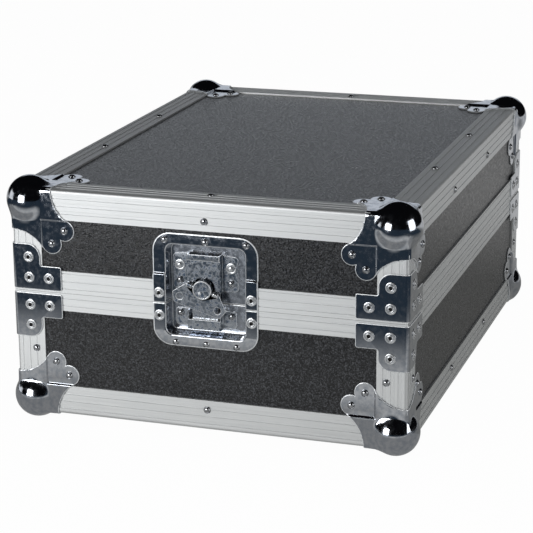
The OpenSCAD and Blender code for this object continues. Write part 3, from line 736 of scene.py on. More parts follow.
@dataclass(frozen=True)
class AnodisedAluminium(Finish):
    """Natural anodised aluminium extrusion: a satin silver with fine die lines along its run."""

    title: str = "anodised aluminium"
    metallic: float = 0.86
    roughness: float = 0.5
    gloss_range: Point = (-0.05, 0.08)
    run: Run | None = Run.ACROSS
    die_line: float = 0.8
    line_strength: float = 0.2
    line_height: float = 0.03
    bloom: float = 25.0
    bloom_share: float = 0.3
    corner_lead: float = 69.5

    def lines(self, tree: Tree, place: Socket, run: Run) -> Node:
        """Noise drawn out along one run."""
        # Real die lines are some tenths of a millimetre apart; they are drawn as coarse as a pixel
        drawn = add_node(tree, "ShaderNodeMapping", {"Vector": place, "Scale": run.value})
        return self.noise(tree, result(drawn), self.die_line, detail=2.0)

    def turning(self, tree: Tree, place: Socket) -> Node:
        """Die lines that turn with the frame, for a piece that runs all round the case.

        Args:
            tree: The material's nodes.
            place: Object coordinates.

        Returns:
            The node with the value, from 0 to 1.
        """
        apart = add_node(tree, "ShaderNodeSeparateXYZ", {"Vector": place})
        wide, long = (add_node(tree, "ShaderNodeMath", {0: apart.outputs[axis]}, operation="ABSOLUTE")
                      for axis in ("X", "Y"))
        lead = add_node(tree, "ShaderNodeMath", {0: long, 1: self.corner_lead * MM}, operation="SUBTRACT")
        deep = add_node(tree, "ShaderNodeMath", {0: wide, 1: lead}, operation="GREATER_THAN")
        return add_node(tree, "ShaderNodeMix", {0: deep, 2: self.lines(tree, place, Run.ACROSS),
                                                3: self.lines(tree, place, Run.DEEP)})

    def dress(self, tree: Tree, place: Socket) -> dict[str, Node]:
        """Adds the die lines and the bloom of the anodising.

        Args:
            tree: The nodes to add to.
            place: Object coordinates, in metres.

        Returns:
            The nodes that the shader's inputs take.
        """
        lines = self.lines(tree, place, self.run) if self.run else self.turning(tree, place)
        silver = add_node(tree, "ShaderNodeMix", {"Factor": lines, "A": "#dcdedf", "B": "#e6e8e8"},
                          data_type="RGBA")
        bloom = add_node(tree, "ShaderNodeMapRange", {
            "Value": self.noise(tree, place, self.bloom), "To Min": 0.0, "To Max": self.bloom_share})
        low, high = self.gloss_range
        return {
            "Base Color": add_node(tree, "ShaderNodeMix", {"Factor": bloom, "A": silver, "B": "#d8dbdc"},
                                   data_type="RGBA"),
            "Roughness": add_node(tree, "ShaderNodeMapRange", {
                "Value": lines, "To Min": self.roughness + low, "To Max": self.roughness + high}),
            "Normal": add_node(tree, "ShaderNodeBump", {
                "Height": lines, "Strength": self.line_strength, "Distance": self.line_height * MM})}


@dataclass(frozen=True)
class PlatedSteel(Finish):
    """Pressed steel with a plated skin: a clear mirror under chrome, a mottled haze under zinc.

    Faint waves from the press bend what it mirrors, and handling leaves blotches in its gloss.
    """

    title: str = "chromed steel"
    metallic: float = 1.0
    roughness: float = 0.06
    haze: float = 0.11
    bright: str = "#c9ccd2"
    dull: str = "#b0b6bf"
    blotch: float = 4.5
    blotch_span: Point = (0.38, 0.66)
    wave: float = 14.0
    wave_span: Point = (0.2, 0.8)
    wave_strength: float = 0.5
    wave_height: float = 0.03
    hollow: float = 0.0
    hollow_ramp: float = 3.0
    hollow_haze: float = 0.12

    def dress(self, tree: Tree, place: Socket) -> dict[str, Node]:
        """Adds the blotches, their haze and the waves.

        Args:
            tree: The nodes to add to.
            place: Object coordinates, in metres.

        Returns:
            The nodes that the shader's inputs take.
        """
        blotches = self.noise(tree, place, self.blotch, self.blotch_span, 4.0)
        gloss = add_node(tree, "ShaderNodeMapRange", {
            "Value": blotches, "To Min": self.roughness, "To Max": self.roughness + self.haze})
        if self.hollow:
            # The press leaves the sheet duller where it was drawn down
            apart = add_node(tree, "ShaderNodeSeparateXYZ", {"Vector": place})
            out = add_node(tree, "ShaderNodeMath", {0: apart.outputs["Y"]}, operation="ABSOLUTE")
            drawn = add_node(tree, "ShaderNodeMapRange", {
                "Value": out, "From Min": self.hollow * MM, "From Max": (self.hollow - self.hollow_ramp) * MM,
                "To Min": 0.0, "To Max": self.hollow_haze})
            gloss = add_node(tree, "ShaderNodeMath", {0: gloss, 1: drawn})
        return {
            "Base Color": add_node(tree, "ShaderNodeMix", {"Factor": blotches, "A": self.bright,
                                                           "B": self.dull}, data_type="RGBA"),
            "Roughness": gloss,
            "Normal": add_node(tree, "ShaderNodeBump", {
                "Height": self.noise(tree, place, self.wave, self.wave_span, 1.0),
                "Strength": self.wave_strength, "Distance": self.wave_height * MM})}


@dataclass(frozen=True)
class ClosedCellFoam(Finish):
    """Charcoal closed-cell foam, cut from sheet: matt, with the shade in its cut cells painted darker into
    its colour.
    """

    title: str = "closed-cell charcoal foam"
    roughness: float = 0.95
    cell: float = 1.6
    cell_span: Point = (0.1, 0.6)
    cell_strength: float = 0.7
    cell_depth: float = 0.6
    patch: float = 30.0
    patch_share: float = 0.3

    def dress(self, tree: Tree, place: Socket) -> dict[str, Node]:
        """Adds the cells and their colour.

        Args:
            tree: The nodes to add to.
            place: Object coordinates, in metres.

        Returns:
            The nodes that the shader's inputs take.
        """
        # Real cells are about 0.8 mm; they are drawn twice as coarse, so that they show
        cells = add_node(tree, "ShaderNodeTexVoronoi", {"Vector": place, "Scale": 1 / (self.cell * MM)})
        low, high = self.cell_span
        depth = add_node(tree, "ShaderNodeMapRange", {"Value": cells, "From Min": low, "From Max": high})
        # Painted shade: the cell hollows are darker in colour, from the same values that give the bump
        grey = add_node(tree, "ShaderNodeMix", {"Factor": depth, "A": "#1d1d1f", "B": "#3c3c3f"},
                        data_type="RGBA")
        patches = add_node(tree, "ShaderNodeMapRange", {
            "Value": self.noise(tree, place, self.patch), "To Min": 0.0, "To Max": self.patch_share})
        return {
            "Base Color": add_node(tree, "ShaderNodeMix", {"Factor": patches, "A": grey, "B": "#303033"},
                                   data_type="RGBA"),
            "Normal": add_node(tree, "ShaderNodeBump", {
                "Height": depth, "Strength": self.cell_strength, "Distance": self.cell_depth * MM})}


class Finishes:
    """The finishes of the case, each made once."""

    def __init__(self) -> None:
        """Makes the materials."""
        self.laminate = PebbledLaminate().material()
        self.rim = AnodisedAluminium("anodised aluminium rim", run=None).material()
        self.chrome = PlatedSteel().material()
        self.tray = PlatedSteel("chromed steel drawn to a tray", hollow=262.0).material()
        self.zinc = PlatedSteel("zinc plated steel", roughness=0.12, haze=0.28, bright="#f6faff",
                                dull="#4c5868", blotch=3.6, wave=5.0, wave_height=0.06).material()
        # Bare edges with a painted highlight: near white and partly diffuse, so that rims, bevels and bends
        # look bright under any light
        self.edge = PlatedSteel("plated steel worn at its edges", metallic=0.6, roughness=0.36, haze=0.12,
                                bright="#eceef0", dull="#ced2d6", blotch=2.0).material()
        self.rivet = PlatedSteel("nickel plated rivets", roughness=0.17, haze=0.1, bright="#c8cacd",
                                 dull="#adafb3", blotch=1.5, wave=2.0, wave_height=0.02).material()
        self.ring = PlatedSteel("satin nickel plated ring rivets", metallic=0.85, roughness=0.24, haze=0.1,
                                bright="#e6e8ea", dull="#c8cbce", blotch=2.0).material()
        # Painted shade: a near-black finish for the bore of a ring rivet
        self.hollow = PlatedSteel("hollow of a rivet in shadow", metallic=0.3, roughness=0.6, haze=0.1,
                                  bright="#0d0e10", dull="#070809", blotch=2.0).material()
        self.foam = ClosedCellFoam().material()
        self.runs = {run: AnodisedAluminium(f"anodised aluminium {run.name.lower()}", run=run).material()
                     for run in Run}


@dataclass(frozen=True)
class Case:
    """The case's own sizes, in millimetres."""

    width: float = 398.0
    depth: float = 537.0
    height: float = 230.0
    split: float = 135.0
    foot: float = 9.0
    leg: float = 30.0
    wall: float = 1.8
    steel: float = 1.5
    inner: float = 8.8

    @property
    def top(self) -> float:
        """Height of the lid's top face."""
        return self.foot + self.height

    def corner(self, right: bool, back: bool, level: float, down: bool) -> Matrix:
        """A frame at a corner line of the case whose axes all run inwards.

        Args:
            right: On the right, else on the left.
            back: At the back, else at the front.
            level: Height of the frame.
            down: Whether its third axis runs down.

        Returns:
            The frame as a matrix.
        """
        across, deep = (-1 if right else 1), (-1 if back else 1)
        place = Matrix.Translation((-across * self.width / 2, -deep * self.depth / 2, level))
        return place @ Matrix.Diagonal((across, deep, -1 if down else 1, 1))


CASE = Case()
SIDES = {"left": False, "right": True}
ENDS = {"front": False, "back": True}
HALVES = {"base": False, "lid": True}


def on_end(back: bool) -> Matrix:
    """The frame of a latch: across, up from the split, and out of the front or back face."""
    turn = Matrix.Rotation(math.pi, 4, "Z") if back else IN_PLACE
    return turn @ Matrix.Translation((0, -CASE.depth / 2, CASE.split)) @ Matrix.Rotation(math.pi / 2, 4, "X")


def dress_node(name: str, material: Material) -> None:
    """Gives a CAD node that stays its finish.

    Args:
        name: The node.
        material: Its finish.
    """
    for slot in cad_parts[name].material_slots:
        slot.material = material
    log.info("%s: CAD node with %s", name, material.name)


@dataclass
class Panels:
    """The laminated panels, which keep their CAD shape."""

    names: tuple[str, ...] = ("base_bottom", "base_front", "base_back", "base_left", "base_right",
                              "lid_top", "lid_front", "lid_back", "lid_left", "lid_right")

    def dress(self, finishes: Finishes) -> None:
        """Gives each panel its laminate."""
        for name in self.names:
            dress_node(f"{name}_panel", finishes.laminate)


@dataclass
class Extrusions:
    """The aluminium frame, which keeps its CAD shape."""

    edges: tuple[tuple[str, Run], ...] = (("front", Run.ACROSS), ("back", Run.ACROSS), ("left", Run.DEEP),
                                          ("right", Run.DEEP))

    def dress(self, finishes: Finishes) -> None:
        """Gives each extrusion die lines along its own run.

        Args:
            finishes: The finishes of the case.
        """
        for half in HALVES:
            for side, run in self.edges:
                dress_node(f"{half}_{side}_edge", finishes.runs[run])
            dress_node(f"{half}_corner_posts", finishes.runs[Run.UPRIGHT])
            dress_node(f"{half}_rim", finishes.rim)


@dataclass
class CornerCaps:
    """Eight ball corners, each pressed from one steel sheet over three faces of the case."""

    ball: float = 23.5
    inset: float = 14.2
    blend: float = 4.8
    bowl_ramp: float = 7.0
    edge_radius: float = 4.5
    arm: float = 42.0
    arm_curve: float = 39.0
    arm_rise: float = 28.5
    arm_steps: int = 14
    lobe: float = 10.5
    lobe_far: float = 54.5
    lobe_near: float = 41.0
    lobe_start: float = -50.0
    lobe_steps: int = 18
    ramp: float = 2.0
    ramp_steps: int = 4
    lip: float = 0.7
    rim: float = 0.45
    seam: float = 0.02
    fillet_lines: tuple[float, ...] = (-0.75, 0, 0.75, 1.5, 2.25, 3)
    ball_lines: tuple[float, ...] = tuple(range(4, 28))
    lobe_lines: tuple[float, ...] = (37, 43, 49, 55)

    def outline(self) -> Outline:
        """The plate on one face, clockwise, so that it faces out of the case."""
        start = -CASE.steel
        centre = self.arm + self.arm_curve
        heights = spread(start, self.arm_rise, self.arm_steps)
        arm = [(centre - math.sqrt(self.arm_curve ** 2 - y ** 2), y) for y in heights]
        gap = (self.lobe_far - self.lobe_near) / 2
        reach = math.sqrt(self.lobe ** 2 - 2 * gap ** 2) / math.sqrt(2)
        notch = math.degrees(math.atan2(reach + gap, reach - gap))
        half = arm + arc((self.lobe_far, self.lobe_near), self.lobe, self.lobe_start, notch, self.lobe_steps)
        return [(y, x) for x, y in half] + list(reversed(half[:-1])) + [(start, start)]

    def grid_lines(self) -> list[float]:
        """Where the sheet is cut across, so that it can be pressed."""
        step = spread(CASE.leg, CASE.leg + self.ramp, self.ramp_steps)
        return [*self.fillet_lines, *self.ball_lines, self.arm_rise, *step, *self.lobe_lines]

    def step(self, point: Vector) -> Vector:
        """Steps the lobes down from the extrusions to the panel."""
        drop = smooth_step(CASE.leg, CASE.leg + self.ramp, min(point.x, point.y))
        return point + Vector((0, 0, CASE.wall * drop))

    def press(self, point: Vector) -> Vector:
        """Rounds the sheet over the case's edges and presses the ball into it.

        Args:
            point: Where a vertex is.

        Returns:
            Where it is once it is pressed.
        """
        core = self.edge_radius - CASE.steel
        if sum(part < core for part in point) >= 2:
            kept = Vector([max(part, core) for part in point])
            point = kept + (point - kept).normalized() * self.edge_radius
        centre = Vector((self.inset,) * 3)
        ray = point - centre
        reach = ray.length
        on_plate = smooth_step(-self.bowl_ramp, 0, max(point) - self.inset)
        flat = min(reach, self.ball - self.blend)
        reach = flat + (reach - flat) * on_plate
        return centre + ray.normalized() * blended_max(reach, self.ball, self.blend)

    def cap(self, footed: bool) -> Bench:
        """Presses one cap.

        Args:
            footed: Whether its ball has the flat that the case stands on.

        Returns:
            The bench with the cap in the frame of its corner.
        """
        sheet = Bench.sheet("cap sheet", self.outline(), -CASE.steel).inset(self.lip)
        for axis in (0, 1):
            sheet.slice(axis, self.grid_lines())
        sheet.reshape(self.step)
        others = [sheet.copied("cap side", turn) for turn in (NEXT_AXES, NEXT_AXES @ NEXT_AXES)]
        sheet.joined(others).merged(self.seam).reshape(self.press)
        if footed:
            sheet.reshape(lambda point: Vector((point.x, point.y, max(point.z, -CASE.foot))))
        sheet.facing(away_from=Vector((self.inset,) * 3))
        return sheet.lipped(self.rim).walled(CASE.steel)

    def build(self, finishes: Finishes) -> None:
        """Builds the eight caps.

        Args:
            finishes: The finishes of the case.
        """
        for half, lid in HALVES.items():
            first = self.cap(footed=not lid)
            for end, back in ENDS.items():
                for side, right in SIDES.items():
                    cap = first.copied(f"{half}_cap_{end}_{side}", IN_PLACE)
                    cap.settled(finishes.chrome, half, "chromed_steel", [f"{half}_ball_{end}_{side}"],
                                CASE.corner(right, back, CASE.top if lid else CASE.foot, lid),
                                edge=finishes.edge)
            first.discard()


@dataclass
class CornerBraces:
    """Steel angles that back up the posts on both sides of the split."""

    reach: float = 50.5
    gap: float = 1.9
    arm_height: float = 24.5
    arm_width: float = 28.5
    end_radius: float = 13.0
    corner_radius: float = 2.0
    fold_radius: float = 4.5
    fold_steps: int = 5
    lip: float = 0.7
    rim: float = 0.45
    inside: Place = (20.0, 20.0, 20.0)
    heights: dict[str, float] = field(default_factory=lambda: {"base": 47.0, "lid": 48.0})

    @property
    def half_fold(self) -> float:
        """Length of sheet in half of the fold round the post."""
        return self.fold_radius * math.pi / 4

    def flat(self, distance: float) -> float:
        """Length of sheet from the middle of the fold to a distance along the face."""
        return distance - (self.fold_radius - CASE.steel) + self.half_fold

    def outline(self, height: float) -> Outline:
        """The unfolded brace.

        Args:
            height: Reach of the upright arm from the split.

        Returns:
            The points, clockwise, so that the folded brace faces out.
        """
        small = self.corner_radius
        end, arm, top = self.flat(self.reach), self.flat(self.arm_width), self.gap + self.arm_height
        half = (arc((end - small, self.gap + small), small, -90, 0, 3)
                + arc((end - small, top - small), small, 0, 90, 3)
                + arc((arm + small, top + small), small, 270, 180, 3)
                + arc((arm - self.end_radius, height - self.end_radius), self.end_radius, 0, 90, 12))
        return list(reversed(half + mirrored(half)))

    def fold(self, point: Vector) -> Vector:
        """Folds the flat sheet round the post.

        Args:
            point: Where a vertex is.

        Returns:
            Where it is once it is folded.
        """
        core = self.fold_radius - CASE.steel
        along = abs(point.x)
        if along > self.half_fold:
            near, far = -CASE.steel, core + along - self.half_fold
        else:
            # The middle of the fold points straight out of the corner, which is at 225 degrees
            angle = math.radians(225) + along / self.fold_radius
            near, far = (core + self.fold_radius * math.sin(angle), core + self.fold_radius * math.cos(angle))
        return Vector((far, near, point.y) if point.x > 0 else (near, far, point.y))

    def build(self, finishes: Finishes) -> None:
        """Builds the four braces of each half as one piece.

        Args:
            finishes: The finishes of the case.
        """
        for half, lid in HALVES.items():
            brace = Bench.sheet("brace", self.outline(self.heights[half])).inset(self.lip)
            folds = spread(-self.half_fold, self.half_fold, 2 * self.fold_steps)
            brace.slice(0, folds + [self.flat(self.arm_width) * s for s in (-1, 1)])
            brace.slice(1, [self.gap + self.arm_height])
            brace.reshape(self.fold).facing(away_from=Vector(self.inside))
            brace.lipped(self.rim).walled(CASE.steel)
            copies = [brace.copied(f"{half}_angles", CASE.corner(right, back, CASE.split, not lid))
                      for back in ENDS.values() for right in SIDES.values()]
            brace.discard()
            copies[0].joined(copies[1:]).settled(
                finishes.chrome, half, "chromed_steel", [f"{half}_braces"], edge=finishes.edge)


@dataclass
class Rivets:
    """The rivet heads, on the places and seats that their CAD nodes give."""

    dome_height: float = 2.2
    ring_height: float = 2.0
    steps: int = 20
    dome: Profile = ((3.75, -0.3), (3.75, 0.3), (3.62, 0.55), (3.35, 0.68), (3.1, 0.55), (3.0, 0.4),
                     (2.88, 0.95), (2.45, 1.55), (1.65, 2.02), (0.7, 2.19))
    ring: Profile = ((5.4, -0.3), (5.4, 0.3), (5.15, 0.6), (4.4, 0.7), (3.8, 0.62), (3.65, 0.15), (3.3, 0.12),
                     (3.15, 1.0), (2.85, 1.35), (2.3, 1.4), (1.8, 1.1), (1.6, 0.4), (1.55, 0.1))
    bolt: Profile = ((5.4, -0.3), (5.4, 0.45), (5.1, 0.75), (4.2, 0.8), (3.6, 0.6), (3.4, 0.35), (3.2, 1.4),
                     (2.8, 2.1), (2.0, 2.6), (0.9, 2.85))
    recess_front: float = 262.0
    recess_margin: float = 60.0
    hollow: float = 1.7
    soft_angle: float = 50.0

    def islands(self, name: str) -> list[tuple[Vector, Vector]]:
        """Finds the separate rivets of a CAD node.

        Args:
            name: The node.

        Returns:
            The lowest and highest corner of each rivet, in millimetres.
        """
        shape = bmesh.new()
        shape.from_mesh(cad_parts[name].data)
        bmesh.ops.remove_doubles(shape, verts=shape.verts, dist=0.001 * MM)
        boxes = []
        waiting = set(shape.verts)
        while waiting:
            island, edge = set(), [waiting.pop()]
            while edge:
                vert = edge.pop()
                island.add(vert)
                near = {link.other_vert(vert) for link in vert.link_edges} & waiting
                waiting -= near
                edge.extend(near)
            spans = [[vert.co[axis] / MM for vert in island] for axis in range(3)]
            boxes.append((Vector([min(s) for s in spans]), Vector([max(s) for s in spans])))
        shape.free()
        return sorted(boxes, key=lambda box: tuple(round(part, 2) for part in box[0] + box[1]))

    def seat(self, low: Vector, high: Vector, height: float) -> Matrix:
        """Works out where a head stands.

        Args:
            low: Lowest corner of the CAD rivet.
            high: Highest corner.
            height: Height of its head.

        Returns:
            A frame on the seat, its third axis out of the case.
        """
        size, middle = high - low, (low + high) / 2
        axis = max(range(3), key=lambda i: abs(2 * size[i] - size[i - 1] - size[i - 2]))
        out = AXES[axis] * (1 if (middle - AXES[2] * CASE.split)[axis] > 0 else -1)
        place = middle + out * (size[axis] / 2 - height)
        return Matrix.Translation(place) @ out.to_track_quat("Z", "Y").to_matrix().to_4x4()

    def in_hollow(self, face: Face) -> bool:
        """Finds the faces in the hollow of a head, which get painted shade."""
        middle = face.calc_center_median()
        return middle.xy.length < self.hollow and middle.z < self.hollow

    def in_recess(self, low: Vector, high: Vector) -> bool:
        """Whether a rivet is on the floor of a latch's tray."""
        deep = max(abs(low.y), abs(high.y)) < self.recess_front
        return deep and abs(low.x) < CASE.width / 2 - self.recess_margin

    def build(self, finishes: Finishes) -> None:
        """Builds the rivets of each half, one piece for the domes and one for the rings.

        Args:
            finishes: The finishes of the case.
        """
        profiles = {"dome": self.dome, "ring": self.ring, "bolt": self.bolt}
        # Each head's hollow gets the second finish, which paints shade into the bore
        heads = {kind: Bench.turned(kind, profile, self.steps).marked(self.in_hollow)
                 for kind, profile in profiles.items()}
        kinds = (("dome", self.dome_height, finishes.rivet), ("ring", self.ring_height, finishes.ring))
        for half in HALVES:
            for kind, height, finish in kinds:
                copies = []
                for low, high in self.islands(f"{half}_{kind}_rivets"):
                    head = heads["bolt" if kind == "ring" and self.in_recess(low, high) else kind]
                    copies.append(head.copied(f"{half}_{kind}_heads", self.seat(low, high, height)))
                copies[0].joined(copies[1:]).settled(finish, half, "nickel_plated_rivets",
                                                     [f"{half}_{kind}_rivets"],
                                                     soft_angle=self.soft_angle, edge=finishes.hollow)
        for head in heads.values():
            head.discard()


@dataclass
class LatchDish:
    """The two pressed trays of a latch, which meet at the split."""

    half: float = 53.25
    low: float = -42.7
    high: float = 70.0
    radius: float = 18.0
    pan_half: float = 40.2
    pan_low: float = -31.2
    pan_high: float = 58.7
    pan_radius: float = 7.0
    front: float = 1.2
    floor: float = -13.0
    sheet: float = 1.2
    brim_radius: float = 1.7
    brim_steps: int = 5
    brim_depth: float = 6.0
    floor_radius: float = 1.2
    floor_steps: int = 4
    draft: float = 1.6
    bend_tilts: tuple[float, float] = (0.4, 0.85)
    step: float = 28.0
    step_ramp: float = 2.0
    step_steps: int = 4
    step_drop: float = 1.8
    split_gap: float = 0.3
    lip: float = 1.1
    rim: float = 0.4

    def rings(self) -> list[Ring]:
        """The tray from its brim, down the wall, to its floor."""
        brim = [(self.brim_radius * math.sin(a), self.brim_radius * (1 - math.cos(a)))
                for a in map(math.radians, spread(0, 90, self.brim_steps)[1:])]
        depth = self.front - self.floor
        bottom = [(self.brim_radius + self.draft + self.floor_radius * (1 - math.cos(a)),
                   depth - self.floor_radius * (1 - math.sin(a)))
                  for a in map(math.radians, spread(0, 90, self.floor_steps))]
        rings = [(self.half - lip, self.low + lip, self.high - lip, self.radius - lip, self.front)
                 for lip in (0, self.lip)]
        for inset, drop in [(0.0, 0.0)] + brim + bottom:
            grow = self.brim_radius - inset
            rings.append((self.pan_half + grow, self.pan_low - grow, self.pan_high + grow,
                          self.pan_radius + grow, self.front - drop))
        return [[Vector((x, y, level)) for x, y in rounded_box(half, low, high, radius)]
                for half, low, high, radius, level in rings]

    def level(self, point: Vector) -> Vector:
        """Steps the brim down to the panel above, and slopes it down below.

        Args:
            point: Where a vertex is.

        Returns:
            Where it is once the brim is stepped.
        """
        if point.y < -self.step:
            drop = self.step_drop * (-self.step - point.y) / (-self.step - self.low)
        else:
            drop = self.step_drop * smooth_step(self.step, self.step + self.step_ramp, point.y)
        share = min(max((point.z + self.brim_depth) / (self.brim_depth + self.front), 0.0), 1.0)
        return point - Vector((0, 0, drop * share))

    def painted_highlight_faces(self, face: Face) -> bool:
        """Finds the faces midway round the tray's bends, which get a painted highlight.

        Args:
            face: The face.

        Returns:
            Whether it is one of them.
        """
        middle = face.calc_center_median()
        inside = abs(middle.x) < self.pan_half + self.brim_radius
        inside = inside and self.pan_low - self.brim_radius < middle.y < self.pan_high + self.brim_radius
        return inside and self.bend_tilts[0] < face.normal.z < self.bend_tilts[1]

    def build(self, finishes: Finishes) -> None:
        """Builds both trays at both ends of the case.

        Args:
            finishes: The finishes of the case.
        """
        tray = Bench.loft("tray", self.rings(), capped=False)
        ramp = spread(self.step, self.step + self.step_ramp, self.step_steps)
        tray.slice(1, ramp + [-self.step, -self.lip, self.lip]).facing().reshape(self.level)
        for part, half in (("upper", "lid"), ("lower", "base")):
            upper = part == "upper"
            tray_half = tray.copied(part, IN_PLACE)
            tray_half.trim(1, self.split_gap if upper else -self.split_gap, upper)
            # The rim gets the bare-edge finish and the faces midway round the bends get it too: painted
            # highlights
            tray_half.lipped(self.rim, self.painted_highlight_faces).walled(self.sheet)
            for end, back in ENDS.items():
                dish = tray_half.copied(f"{end}_{part}_tray", IN_PLACE)
                dish.settled(finishes.tray, half, "chromed_steel", [f"{end}_{part}_dish"], on_end(back),
                             edge=finishes.edge)
            tray_half.discard()
        tray.discard()


@dataclass
class FoldedCover:
    """A cover folded from sheet, with flanges at its sides that are riveted to the tray."""

    half: float
    low: float
    high: float
    flange: tuple[float, float, float]
    front: float = -5.0
    seat: float = -11.8
    sheet: float = 1.2
    bend: float = 0.8
    bend_steps: int = 4
    corner: float = 3.0
    rim: float = 0.45
    hair: float = 0.01

    def shell(self, name: str, open_ends: Sequence[int]) -> Bench:
        """Folds the cover without its holes.

        Args:
            name: Name of the piece.
            open_ends: Which ends are open: 1 is the upper one and -1 the lower.

        Returns:
            The bench with the open sheet, its flanges on.
        """
        cover = Bench.block(name, (-self.half, self.low, self.seat), (self.half, self.high, self.front))
        with cover.editing():
            cover.select_faces(lambda face: face.normal.z < -0.5 or round(face.normal.y) in open_ends)
            bpy.ops.mesh.delete(type="FACE")
            cover.select_edges(lambda edge: len(edge.link_faces) == 2)
            bpy.ops.mesh.bevel(offset=self.bend, segments=self.bend_steps, affect="EDGES")
        width, low, high = self.flange
        for side in (-1, 1):
            foot = Vector((side * self.half, 0, self.seat))
            with cover.editing():
                cover.select_edges(lambda edge: all((v.co - foot).xz.length < self.hair for v in edge.verts))
                bpy.ops.mesh.extrude_edges_move(TRANSFORM_OT_translate={"value": (side * width, 0, 0)})
        outer = self.half + width - self.hair
        cover.reshape(lambda p: Vector((p.x, min(max(p.y, low), high), p.z)) if abs(p.x) > outer else p)
        with cover.editing():
            shape = bmesh.from_edit_mesh(cover.piece.data)
            for vert in shape.verts:
                vert.select_set(abs(vert.co.x) > outer)
            shape.select_flush_mode()
            bpy.ops.mesh.bevel(offset=self.corner, segments=self.bend_steps, affect="VERTICES")
            cover.turn_outward()
        return cover.facing()


